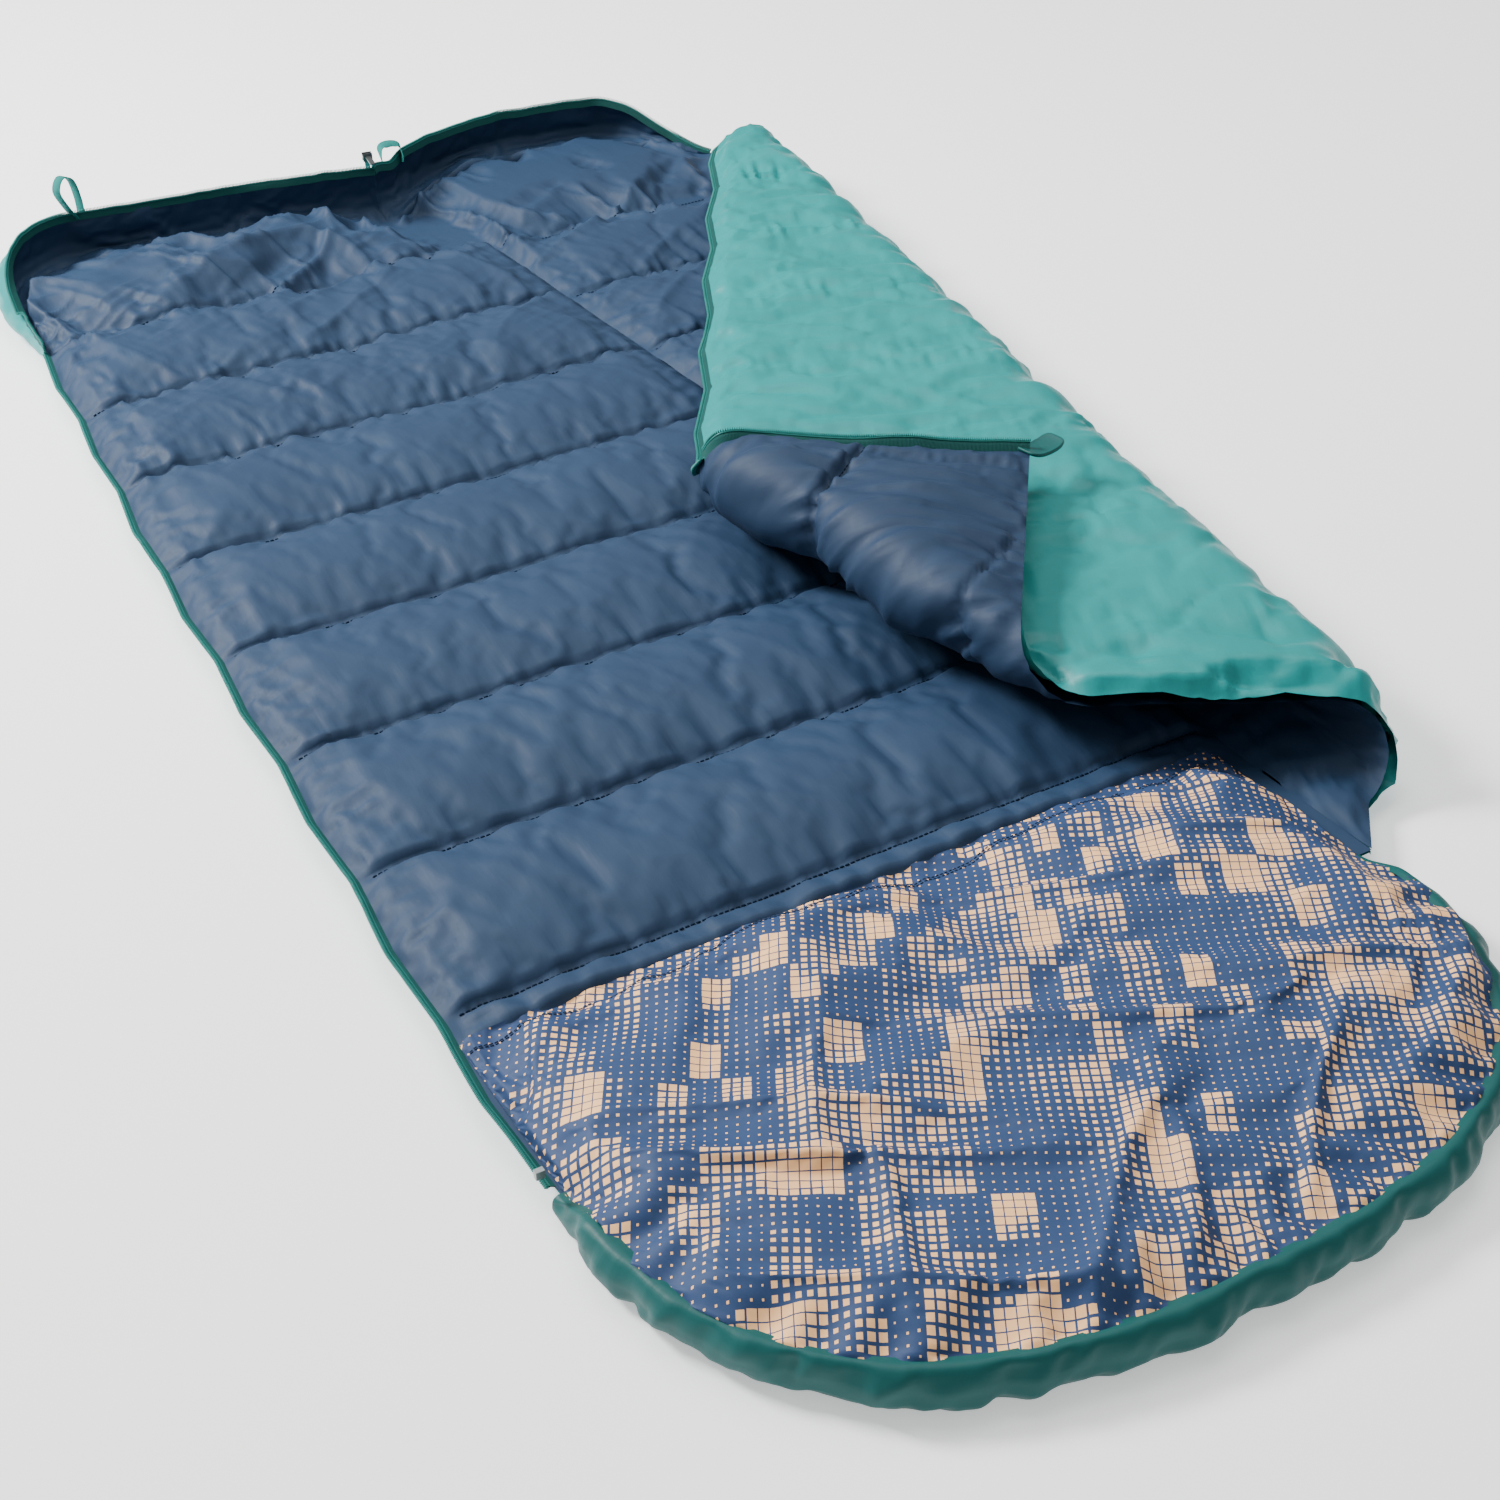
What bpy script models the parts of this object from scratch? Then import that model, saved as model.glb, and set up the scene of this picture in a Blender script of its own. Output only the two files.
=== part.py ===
"""Camp quilt: a hooded sleeping bag that zips open into a quilt, with its cover thrown back.

Metres, +Z up. +Y runs from the hood to the foot, +X to the side that the cover is sewn to.
The origin lies on the underside of the base, at the middle of the neck seam.
The base panel lies on the ground, lining up. The cover is sewn to it along the side seam,
lies open beside it, is folded back over itself along the main fold, and its free corner
is turned back once more along the corner fold.
"""

import math

import bmesh
import bpy
from mathutils import Matrix, Vector

# Driving dimensions
PITCH = 0.170  # one quilted baffle, seam to seam; lengths in the plan are counted in it
BAFFLES = 7  # baffles between the neck seam and the last seam before the foot
NECK_HALF = 1.90  # half width at the neck, in pitches
FOOT_HALF = 1.62  # half width at the last seam, in pitches
SIDE_END = -1.06  # where the side zip and the cover end, in pitches
HOOD_DEPTH = 1.62  # hood beyond the side zip, in pitches
HOOD_POWER = 2.6  # how square the hood's round end is

LOFT = 0.033  # one quilted layer, shell to lining
SKIN = 0.001  # fabric
GAP = 0.0004  # between pieces that lie on each other
MAIN_GAP = 0.024  # between the linings inside the main fold
CORNER_GAP = 0.012  # between the shells inside the corner fold
EDGE = 0.0030  # the fill and lining stop this far inside the shell's rim

WALL_BEND = 0.046  # outer radius where the foot turns up
BASE_WALL = 0.080  # height of the base's foot
COVER_WALL = 0.066  # height of the cover's foot
WALL_STEPS = 8
ROLL_STEPS = 10
FOLD_GAP = 0.0015  # panels stop this far short of a fold

POCKET_THICK = 0.002
POCKET_IN = 0.025  # the pocket stops this far inside the edges, in pitches
POCKET_MOUTH = -0.15  # the pocket's open hem, in pitches
HEM_DEPTH = 0.12  # from the pocket's mouth to its stitching, in pitches
STITCH_IN = 0.03  # stitches stop this far inside the edges, in pitches

TAPE_WIDTH = 0.012
TAPE_THICK = 0.0009
TAPE_OUT = 0.0012  # an upright tape's middle stands this far outside the shell
COIL_RADIUS = 0.0019
COIL_LIFT = TAPE_WIDTH / 2 + COIL_RADIUS + 0.0016
ZIP_CLEAR = 0.12  # straight zips stop this far short of the folds, in pitches
THREAD_RADIUS = 0.0006

SLIDER_LENGTH = 0.011
SLIDER_PLAY = 0.0005
SLIDER_CHEEK = 0.0012
SLIDER_BRIDGE = 0.0018
SLIDER_UPPER = 0.0030
PULL_WIDTH = 0.006
PULL_THICK = 0.0012
PULL_LENGTH = 0.028

TAB_LENGTH = 0.042
TAB_WIDTH = 0.026
TAB_THICK = 0.003
TAB_IN = 0.008  # the tab starts this far inside the corner's sharp point
LOOP_WIDTH = 0.018
LOOP_HEIGHT = 0.058
LOOP_CORD = 0.0022
LOOP_LIFT = LOOP_CORD + 0.0006  # from the wall up to the loop's foot
LOOP_STEPS = 8
LOOP_TURN_LEFT = -5  # degrees that each loop's width turns from +X
LOOP_TURN_RIGHT = 30

# Levels
OUTER_Z = LOFT + MAIN_GAP
CORNER_Z = OUTER_Z + LOFT + CORNER_GAP
POCKET_Z = LOFT + GAP

# Plan corners, in pitches
FOOT_LEFT = Vector((-0.85, 8.16))  # ends of the crease where the base's foot turns up
FOOT_MIDDLE = Vector((1.20, 7.80))  # the side seam ends here
FOLD_FOOT = Vector((3.70, 7.70))  # main fold, at the foot
FOLD_NECK = Vector((2.12, -0.80))  # main fold, at the neck
TURN_SIDE = Vector((0.96, 2.98))  # corner fold, on the zip edge
TURN_NECK = Vector((1.25, 0.05))  # corner fold, on the neck edge
FREE_CORNER = Vector((2.12, 1.70))  # the cover's free corner, turned back

# Creases where the foot turns up: places in pitches, and the way out in degrees from +X
BASE_OUT = 80
BASE_CREASE = (
    (FOOT_MIDDLE, BASE_OUT),
    (FOOT_MIDDLE.lerp(FOOT_LEFT, 0.5), BASE_OUT),
    (FOOT_LEFT, BASE_OUT),
)
COVER_CREASE = (
    (Vector((3.45, 7.93)), 58),
    (Vector((3.00, 8.22)), 74),
    (Vector((2.35, 8.34)), 90),
    (Vector((1.78, 8.18)), 100),
    (Vector((1.32, 7.82)), 88),
)
HANG_LEFT = Vector((-0.77, 8.32))  # where the hang loops are sewn in
HANG_RIGHT = Vector((1.42, 8.02))

TEAL = (0.045, 0.30, 0.27)
NAVY = (0.055, 0.105, 0.20)
WHITE_FILL = (0.85, 0.86, 0.87)
PRINT = (0.16, 0.22, 0.38)
COIL_GREEN = (0.02, 0.16, 0.14)
METAL = (0.30, 0.32, 0.33)
THREAD = (0.03, 0.05, 0.10)


def clear_scene():
    for obj in list(bpy.data.objects):
        bpy.data.objects.remove(obj)


def new_collection(name):
    collection = bpy.data.collections.new(name)
    bpy.context.scene.collection.children.link(collection)
    return collection


def material(name, colour, roughness=0.8, metallic=0.0):
    made = bpy.data.materials.new(name)
    made.use_nodes = True
    shader = made.node_tree.nodes["Principled BSDF"]
    shader.inputs["Base Color"].default_value = (*colour, 1.0)
    shader.inputs["Roughness"].default_value = roughness
    shader.inputs["Metallic"].default_value = metallic
    return made


def place(name, data, look):
    """Link new data as a named part of the quilt."""
    obj = bpy.data.objects.new(name, data)
    parts.objects.link(obj)
    obj.data.materials.append(look)
    return obj


# Outlines in the plan, in metres


def scaled(points):
    return [Vector((p[0], p[1])) * PITCH for p in points]


def bend(start, control, end, steps):
    """Points on a quadratic curve, without its first one."""
    found = []
    for i in range(1, steps + 1):
        t = i / steps
        found.append(
            (1 - t) ** 2 * Vector(start) + 2 * t * (1 - t) * Vector(control) + t * t * Vector(end)
        )
    return found


def inset(points, distance):
    """The closed outline moved inwards; its points run anticlockwise."""
    found = []
    count = len(points)
    for i, here in enumerate(points):
        before = (here - points[i - 1]).normalized()
        after = (points[(i + 1) % count] - here).normalized()
        inward = Vector((-before.y - after.y, before.x + after.x)).normalized()
        spread = max(0.35, inward.dot(Vector((-before.y, before.x))))
        found.append(here + inward * distance / spread)
    return found


def side_seam():
    """The side seam from the neck to the foot crease, in pitches."""
    top = Vector((FOOT_HALF, BAFFLES))
    seam = [Vector((NECK_HALF, SIDE_END)), Vector((NECK_HALF, 0)), top]
    return seam + bend(top, (1.50, 7.40), FOOT_MIDDLE, 4)


def base_outline():
    """Anticlockwise, with the numbers of its crease points and of its free left edges."""
    left_top = Vector((-FOOT_HALF, BAFFLES))
    outline = side_seam()
    first = len(outline) - 1
    outline += [place for place, _ in BASE_CREASE[1:]]
    last = len(outline) - 1
    outline += bend(FOOT_LEFT, (-1.55, 8.05), left_top, 6)
    outline += [Vector((-NECK_HALF, 0)), Vector((-NECK_HALF, SIDE_END))]
    free = list(range(last + 1, len(outline) - 1))
    return scaled(outline), (first, last), free


def cover_inner_outline():
    """The part of the cover that lies open on the ground, beside the base."""
    outline = [FOLD_NECK, FOLD_FOOT, Vector((3.60, 7.82))]
    first = len(outline)
    outline += [place for place, _ in COVER_CREASE]
    last = len(outline) - 1
    outline += list(reversed(side_seam()))
    return scaled(outline), (first, last), [1]


def hood_outline(steps=28):
    """The round end beyond the side zip, anticlockwise from its left end."""
    found = []
    for i in range(steps + 1):
        angle = math.pi * i / steps
        c, s = math.cos(angle), math.sin(angle)
        across = -math.copysign(abs(c) ** (2 / HOOD_POWER), c) * NECK_HALF
        down = SIDE_END - s ** (2 / HOOD_POWER) * HOOD_DEPTH
        found.append(Vector((across, down)))
    return scaled(found)


def cover_outer_outline():
    blunt = [FOLD_FOOT.lerp(FOLD_NECK, 0.03), FOLD_FOOT.lerp(TURN_SIDE, 0.07)]
    return scaled([*blunt, TURN_SIDE, TURN_NECK, FOLD_NECK])


def cover_corner_outline():
    rounded = bend(
        FREE_CORNER.lerp(TURN_NECK, 0.1), FREE_CORNER, FREE_CORNER.lerp(TURN_SIDE, 0.1), 4
    )
    return scaled([TURN_NECK, FREE_CORNER.lerp(TURN_NECK, 0.1), *rounded, TURN_SIDE])


# Solids


def prism(name, outline, low, high, look):
    """A flat closed piece: a filled 2D outline, extruded by half its thickness each way."""
    curve = bpy.data.curves.new(name, "CURVE")
    curve.dimensions = "2D"
    curve.fill_mode = "BOTH"
    curve.extrude = (high - low) / 2
    spline = curve.splines.new("POLY")
    spline.points.add(len(outline) - 1)
    for point, at in zip(spline.points, outline):
        point.co = (at.x, at.y, 0, 1)
    spline.use_cyclic_u = True
    obj = place(name, curve, look)
    obj.location.z = (low + high) / 2
    return obj


def out_of(crease):
    """The way out of the foot at each of its crease points."""
    return [Vector((math.cos(math.radians(a)), math.sin(math.radians(a)))) for _, a in crease]


def draw_out(bm, verts, spots):
    """Pull the edges between the given points out to new places; returns the new points."""
    edges = [bm.edges.get(pair) for pair in zip(verts, verts[1:])]
    made = bmesh.ops.extrude_edge_only(bm, edges=edges)["geom"]
    fresh = [g for g in made if isinstance(g, bmesh.types.BMVert)]
    found = []
    for vert, spot in zip(verts, spots):
        new = min(fresh, key=lambda v: (v.co - vert.co).length)
        fresh.remove(new)
        found.append(new)
    for new, spot in zip(found, spots):
        new.co = spot
    return found


def wall_spots(starts, outs, ahead, height):
    return [
        Vector((p.x + out.x * ahead, p.y + out.y * ahead, height)) for p, out in zip(starts, outs)
    ]


def surface(bm, outline, level, foot=None):
    """A flat sheet whose foot turns up; returns its first face.

    foot gives the crease's points, the ways out, the bend's radius and centre height, the
    wall's top, and the width of a lip that closes the wall's top.
    """
    verts = [bm.verts.new((p.x, p.y, level)) for p in outline]
    flat = bm.faces.new(verts)
    if not foot:
        return flat
    (first, last), outs, radius, centre, top, lip = foot
    here = verts[first : last + 1]
    starts = [v.co.copy() for v in here]
    for i in range(1, WALL_STEPS + 1):
        angle = math.pi / 2 * i / WALL_STEPS
        ahead, height = radius * math.sin(angle), centre - radius * math.cos(angle)
        here = draw_out(bm, here, wall_spots(starts, outs, ahead, height))
    here = draw_out(bm, here, wall_spots(starts, outs, radius, top))
    if lip:
        draw_out(bm, here, wall_spots(starts, outs, radius - lip, top))
    return flat


def fabric(name, outline, level, look, free=(), rim=0.0, foot=None, upper=False):
    """A shell: a sheet of fabric with its free edges turned towards the lining."""
    mesh = bpy.data.meshes.new(name)
    bm = bmesh.new()
    flat = surface(bm, outline, level, foot)
    verts = list(flat.verts)
    if free:
        turned = level + (-rim if upper else rim)
        ring = [verts[i % len(verts)] for i in (*free, free[-1] + 1)]
        draw_out(bm, ring, [Vector((v.co.x, v.co.y, turned)) for v in ring])
    bmesh.ops.recalc_face_normals(bm, faces=bm.faces)
    bm.faces.ensure_lookup_table()
    if (bm.faces[0].normal.z > 0) != upper:
        bmesh.ops.reverse_faces(bm, faces=bm.faces)
    bm.to_mesh(mesh)
    bm.free()
    obj = place(name, mesh, look)
    thick = obj.modifiers.new("fabric", "SOLIDIFY")
    thick.thickness = SKIN
    thick.offset = -1
    thick.use_even_offset = True


def layer(name, outline, low, high, look, feet=(None, None)):
    """A layer between two parallel sheets, such as the fill or the lining."""
    mesh = bpy.data.meshes.new(name)
    bm = bmesh.new()
    for level, foot in zip((low, high), feet):
        surface(bm, outline, level, foot)
    rims = [edge for edge in bm.edges if edge.is_boundary]
    bmesh.ops.bridge_loops(bm, edges=rims)
    bmesh.ops.recalc_face_normals(bm, faces=bm.faces)
    bm.to_mesh(mesh)
    bm.free()
    place(name, mesh, look)


def quilted(prefix, outline, low, free, flipped=False, crease=None, outs=None, wall_top=0.0):
    """Shell, fill and lining of one panel. A flipped one has its shell on top."""
    inner = inset(outline, EDGE)
    high = low + LOFT
    rim = LOFT - SKIN - GAP
    if flipped:
        fabric(f"{prefix}_shell", outline, high, TEAL_CLOTH, free, rim, upper=True)
        layer(f"{prefix}_fill", inner, low + SKIN + GAP, high - SKIN - 2 * GAP, BATT)
        layer(f"{prefix}_lining", inner, low, low + SKIN, NAVY_CLOTH)
        return

    def foot(depth, top, lip=0.0):
        return (crease, outs, WALL_BEND - depth, low + WALL_BEND, top, lip) if crease else None

    fabric(f"{prefix}_shell", outline, low, TEAL_CLOTH, free, rim, foot(0, wall_top, rim))
    for name, depths, look in (
        ("fill", (SKIN + 2 * GAP, rim), BATT),
        ("lining", (LOFT - SKIN, LOFT), NAVY_CLOTH),
    ):
        feet = [foot(depth, wall_top - EDGE) for depth in depths]
        levels = [low + depth for depth in depths]
        layer(f"{prefix}_{name}", inner, *levels, look, feet)


def tube(name, path, radius, look):
    """A round cord, coil or thread along a path of 3D points."""
    curve = bpy.data.curves.new(name, "CURVE")
    curve.dimensions = "3D"
    curve.bevel_depth = radius
    curve.bevel_resolution = 2
    curve.use_fill_caps = True
    spline = curve.splines.new("POLY")
    spline.points.add(len(path) - 1)
    for point, at in zip(spline.points, path):
        point.co = (*at, 1)
    return place(name, curve, look)


def ribbon(name, path, width, thickness, look):
    """An upright tape along a path."""
    obj = tube(name, path, 0, look)
    obj.data.extrude = width / 2
    obj.data.twist_mode = "Z_UP"
    obj.data.use_fill_caps = False
    thick = obj.modifiers.new("tape", "SOLIDIFY")
    thick.thickness = thickness
    thick.offset = 0
    return obj


def box(name, size, centre, look, turn=0.0):
    """A box turned about Z."""
    bpy.ops.mesh.primitive_cube_add(size=1, location=centre, rotation=(0, 0, turn))
    obj = bpy.context.object
    obj.name = name
    for vert in obj.data.vertices:
        vert.co = Vector(a * b for a, b in zip(vert.co, size))
    for collection in list(obj.users_collection):
        collection.objects.unlink(obj)
    parts.objects.link(obj)
    obj.data.materials.append(look)
    return obj


# Panels


def make_panels():
    outline, crease, free = base_outline()
    outs = out_of(BASE_CREASE)
    edge = inset(outline, GAP)
    quilted("base", edge, 0, free, crease=crease, outs=outs, wall_top=BASE_WALL)

    outline, crease, free = cover_inner_outline()
    outs = out_of(COVER_CREASE)
    edge = inset(outline, GAP)
    quilted("cover_inner", edge, 0, free, crease=crease, outs=outs, wall_top=COVER_WALL)

    quilted("cover_outer", inset(cover_outer_outline(), FOLD_GAP), OUTER_Z, [1], flipped=True)
    corner = inset(cover_corner_outline(), FOLD_GAP)
    quilted("cover_corner", corner, CORNER_Z, list(range(len(corner) - 1)))

    hood = inset(hood_outline(), 2 * GAP)
    quilted("hood", hood, 0, list(range(len(hood) - 1)))


def fold_roll(name, start, end, low, high, look):
    """The outer fabric where it rolls over a fold: a half tube that bulges to its right."""
    radius, middle = (high - low) / 2, (high + low) / 2
    line = (end - start) * PITCH
    arc = []
    for r, sweep in ((radius, range(ROLL_STEPS + 1)), (radius - SKIN, range(ROLL_STEPS, -1, -1))):
        for i in sweep:
            angle = math.pi * (i / ROLL_STEPS - 0.5)
            arc.append(Vector((r * math.cos(angle) + GAP, r * math.sin(angle))))
    roll = prism(name, arc, -line.length / 2, line.length / 2, look)
    centre = (start + end) / 2 * PITCH
    side = Vector((line.y, -line.x, 0)).normalized()
    up = Vector((0, 0, 1))
    turn = Matrix((side, up, side.cross(up))).transposed()
    roll.matrix_world = Matrix.Translation((centre.x, centre.y, middle)) @ turn.to_4x4()


def make_folds():
    """The two folds, where the cover turns back over itself."""
    start, end = FOLD_NECK.lerp(FOLD_FOOT, 0.01), FOLD_NECK.lerp(FOLD_FOOT, 0.95)
    fold_roll("main_fold", start, end, 0, OUTER_Z + LOFT, TEAL_CLOTH)
    start, end = TURN_SIDE.lerp(TURN_NECK, 0.03), TURN_SIDE.lerp(TURN_NECK, 0.97)
    fold_roll("corner_fold", start, end, OUTER_Z, CORNER_Z + LOFT, NAVY_CLOTH)


def make_pocket():
    """The printed pillow pocket: its hemmed mouth lies on the base, the rest on the hood."""
    side = NECK_HALF - POCKET_IN
    mouth = [(-side, SIDE_END), (side, SIDE_END), (side, POCKET_MOUTH), (-side, POCKET_MOUTH)]
    top = POCKET_Z + POCKET_THICK
    prism("pocket_mouth", inset(scaled(mouth), FOLD_GAP), POCKET_Z, top, PRINT_CLOTH)
    panel = inset(hood_outline(), POCKET_IN * PITCH)
    prism("pocket_panel", panel, POCKET_Z, top, PRINT_CLOTH)
    y = (POCKET_MOUTH - HEM_DEPTH) * PITCH
    ends = [(s * (side - POCKET_IN) * PITCH, y, top + GAP + THREAD_RADIUS) for s in (-1, 1)]
    tube("pocket_hem_stitch", ends, THREAD_RADIUS, THREAD_LOOK)


def fold_x(row):
    """Where the main fold crosses a quilting seam, in pitches."""
    share = (row - FOLD_NECK.y) / (FOLD_FOOT.y - FOLD_NECK.y)
    return FOLD_NECK.lerp(FOLD_FOOT, share).x


def make_quilting():
    """A row of stitches across each panel at every baffle seam."""
    z = LOFT + GAP + THREAD_RADIUS
    for row in range(BAFFLES + 1):
        half = NECK_HALF + (FOOT_HALF - NECK_HALF) * row / BAFFLES
        y = row * PITCH
        reach = (half - STITCH_IN) * PITCH
        tube(f"base_stitch_{row}", [(-reach, y, z), (reach, y, z)], THREAD_RADIUS, THREAD_LOOK)
        if row:
            ends = [((half + STITCH_IN) * PITCH, y, z), ((fold_x(row) - STITCH_IN) * PITCH, y, z)]
            tube(f"cover_stitch_{row}", ends, THREAD_RADIUS, THREAD_LOOK)

    z = CORNER_Z + LOFT + GAP + THREAD_RADIUS
    ends = [TURN_NECK.lerp(TURN_SIDE, 0.42), FREE_CORNER.lerp(TURN_SIDE, 0.30)]
    ends = [ends[0].lerp(ends[1], s) for s in (0.03, 0.93)]
    ends = [(p.x * PITCH, p.y * PITCH, z) for p in ends]
    tube("corner_stitch", ends, THREAD_RADIUS, THREAD_LOOK)


# Zip


def lifted(points, heights):
    return [Vector((p.x, p.y, h)) for p, h in zip(points, heights)]


def along(start, end, steps):
    return [Vector(start).lerp(Vector(end), i / steps) for i in range(steps + 1)]


def upright_zip(name, path):
    """One side of the zip round a standing edge: an upright tape with its coil on top."""
    ribbon(f"{name}_zip_tape", path, TAPE_WIDTH, TAPE_THICK, TAPE_CLOTH)
    lift = Vector((0, 0, COIL_LIFT))
    tube(f"{name}_zip_coil", [p + lift for p in path], COIL_RADIUS, COIL_LOOK)


def flat_zip(name, start, end, z):
    """One side of the zip along a straight edge: a flat tape with its coil on the outside."""
    line = (end - start).normalized()
    side = Vector((line.y, -line.x, 0))
    ends = [start + line * ZIP_CLEAR, end - line * ZIP_CLEAR]
    path = [Vector((p.x * PITCH, p.y * PITCH, z)) + side * (TAPE_WIDTH / 2 + GAP) for p in ends]
    size = ((path[1] - path[0]).length, TAPE_WIDTH, TAPE_THICK)
    turn = math.atan2(line.y, line.x)
    box(f"{name}_zip_tape", size, (path[0] + path[1]) / 2, TAPE_CLOTH, turn)
    tube(f"{name}_zip_coil", [p + side * COIL_LIFT for p in path], COIL_RADIUS, COIL_LOOK)


def crease_top(crease):
    """The outside of the foot's wall, with room for the zip tape."""
    reach = (WALL_BEND + TAPE_OUT) / PITCH
    return [place + out * reach for (place, _), out in zip(crease, out_of(crease))]


def base_zip_path():
    """From the hood, up the side, round the corner and across the foot to the side seam."""
    left = -TAPE_OUT / PITCH
    neck, knee, top = (
        (-NECK_HALF + left, SIDE_END + 0.05),
        (-NECK_HALF + left, 0),
        (-FOOT_HALF + left, BAFFLES),
    )
    side = along(neck, knee, 2) + along(knee, top, 6)[1:]
    foot = list(reversed(crease_top(BASE_CREASE)))
    corner = bend(side[-1], (-1.60, 8.18), foot[0] + Vector((-0.10, -0.01)), 8)
    low, high = LOFT - TAPE_WIDTH / 2, BASE_WALL - TAPE_WIDTH / 2
    heights = [low] * len(side)
    heights += [low + (high - low) * i / len(corner) for i in range(1, len(corner) + 1)]
    heights += [high] * len(foot)
    return lifted(scaled(side + corner + foot), heights)


def cover_zip_path():
    """From the side seam across the cover's foot and down to the main fold."""
    foot = list(reversed(crease_top(COVER_CREASE)))
    turn = bend(foot[-1], (3.74, 8.10), FOLD_FOOT + Vector((0.03, 0.06)), 4)
    low, high = LOFT - TAPE_WIDTH / 2, COVER_WALL - TAPE_WIDTH / 2
    heights = [high] * len(foot) + [high + (low - high) * i / 4 for i in range(1, 5)]
    return lifted(scaled(foot + turn), heights)


def slider_frame():
    """The foot chain's parking end: a place on its coil, the way along it and the way out."""
    foot = base_zip_path()
    end, before = foot[-1], foot[-2]
    line = (before - end).normalized()
    out = Vector((line.y, -line.x, 0))
    return end + Vector((0, 0, COIL_LIFT)), line, out


def make_slider():
    """The slider straddles the coil: two cheeks joined by a bridge above it, and two pulls."""
    coil, line, out = slider_frame()
    inner = COIL_RADIUS + SLIDER_PLAY
    outer = inner + SLIDER_CHEEK
    roof = inner + SLIDER_BRIDGE
    drop, rise = -COIL_RADIUS, roof + SLIDER_UPPER
    section = [
        (-outer, drop), (-inner, drop), (-inner, inner), (inner, inner), (inner, drop),
        (outer, drop), (outer, rise), (inner, rise), (inner, roof), (-inner, roof),
        (-inner, rise), (-outer, rise),
    ]
    section = [Vector(p) for p in section]
    body = prism("slider_body", section, -SLIDER_LENGTH / 2, SLIDER_LENGTH / 2, METAL_LOOK)
    turn = Matrix((out, Vector((0, 0, 1)), out.cross(Vector((0, 0, 1))))).transposed()
    centre = coil + line * SLIDER_LENGTH
    body.matrix_world = Matrix.Translation(centre) @ turn.to_4x4()
    angle = math.atan2(line.y, line.x)
    reach = outer + GAP + PULL_THICK / 2
    hang = PULL_LENGTH / 2
    pin = centre + out * reach + Vector((0, 0, roof))
    pull = box("slider_pull_outside", (PULL_WIDTH, PULL_THICK, PULL_LENGTH), pin, METAL_LOOK, angle)
    for vert in pull.data.vertices:
        vert.co.z -= hang
    pin = centre - out * reach + Vector((0, 0, roof))
    pull = box("slider_pull_inside", (PULL_WIDTH, PULL_LENGTH, PULL_THICK), pin, METAL_LOOK, angle)
    inwards = -1 if out.y * math.cos(angle) - out.x * math.sin(angle) > 0 else 1
    for vert in pull.data.vertices:
        vert.co.y += inwards * hang


def make_zips():
    upright_zip("base", base_zip_path())
    upright_zip("cover_foot", cover_zip_path())
    flat_zip("cover_outer", FOLD_FOOT, TURN_SIDE, OUTER_Z + LOFT / 2)
    flat_zip("cover_corner", FREE_CORNER, TURN_SIDE, CORNER_Z + LOFT / 2)
    x = (-NECK_HALF - TAPE_OUT / PITCH) * PITCH
    stop = (TAPE_WIDTH / 2, TAPE_WIDTH / 3, TAPE_WIDTH / 2)
    z = LOFT - TAPE_WIDTH / 2 + COIL_LIFT
    box("zip_stop_base", stop, (x, (SIDE_END + 0.02) * PITCH, z), METAL_LOOK)


def make_trim():
    """The rounded tab at the free corner, and the two hang loops at the foot."""
    line = (FREE_CORNER - (TURN_NECK + TURN_SIDE) / 2).normalized()
    angle = math.atan2(line.y, line.x)
    root = FREE_CORNER * PITCH - line * TAB_IN
    size = (TAB_LENGTH, TAB_WIDTH, TAB_THICK)
    tab = box("corner_tab", size, (root.x, root.y, CORNER_Z + LOFT / 2), TEAL_CLOTH, angle)
    for vert in tab.data.vertices:
        vert.co.x += TAB_LENGTH / 2
    for name, spot, foot, angle in (
        ("hang_loop_left", HANG_LEFT, BASE_WALL + LOOP_LIFT, LOOP_TURN_LEFT),
        ("hang_loop_right", HANG_RIGHT, COVER_WALL + LOOP_LIFT, LOOP_TURN_RIGHT),
    ):
        half = LOOP_WIDTH / 2
        path = [Vector((-half, 0, 0)), Vector((-half, 0, LOOP_HEIGHT - half))]
        for i in range(1, LOOP_STEPS + 1):
            a = math.pi * (1 - i / LOOP_STEPS)
            path.append(Vector((half * math.cos(a), 0, LOOP_HEIGHT - half + half * math.sin(a))))
        path.append(Vector((half, 0, 0)))
        loop = tube(name, path, LOOP_CORD, TAPE_CLOTH)
        loop.location = (spot.x * PITCH, spot.y * PITCH, foot)
        loop.rotation_euler.z = math.radians(angle)


def main():
    make_panels()
    make_folds()
    make_pocket()
    make_quilting()
    make_zips()
    make_slider()
    make_trim()


clear_scene()
parts = new_collection("camp_quilt")
TEAL_CLOTH = material("teal_shell", TEAL, 0.45)
NAVY_CLOTH = material("navy_lining", NAVY, 0.55)
PRINT_CLOTH = material("printed_pocket", PRINT, 0.8)
BATT = material("white_fill", WHITE_FILL, 0.95)
TAPE_CLOTH = material("zip_tape", TEAL, 0.8)
COIL_LOOK = material("zip_coil", COIL_GREEN, 0.4)
THREAD_LOOK = material("thread", THREAD, 0.7)
METAL_LOOK = material("slider_metal", METAL, 0.35, 1.0)
main()
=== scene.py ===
"""The looks of the camp quilt: cloth, filling, zips, stitching and the studio around it."""

import functools
import math

import bpy
import numpy as np
from mathutils import Matrix, Vector


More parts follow.
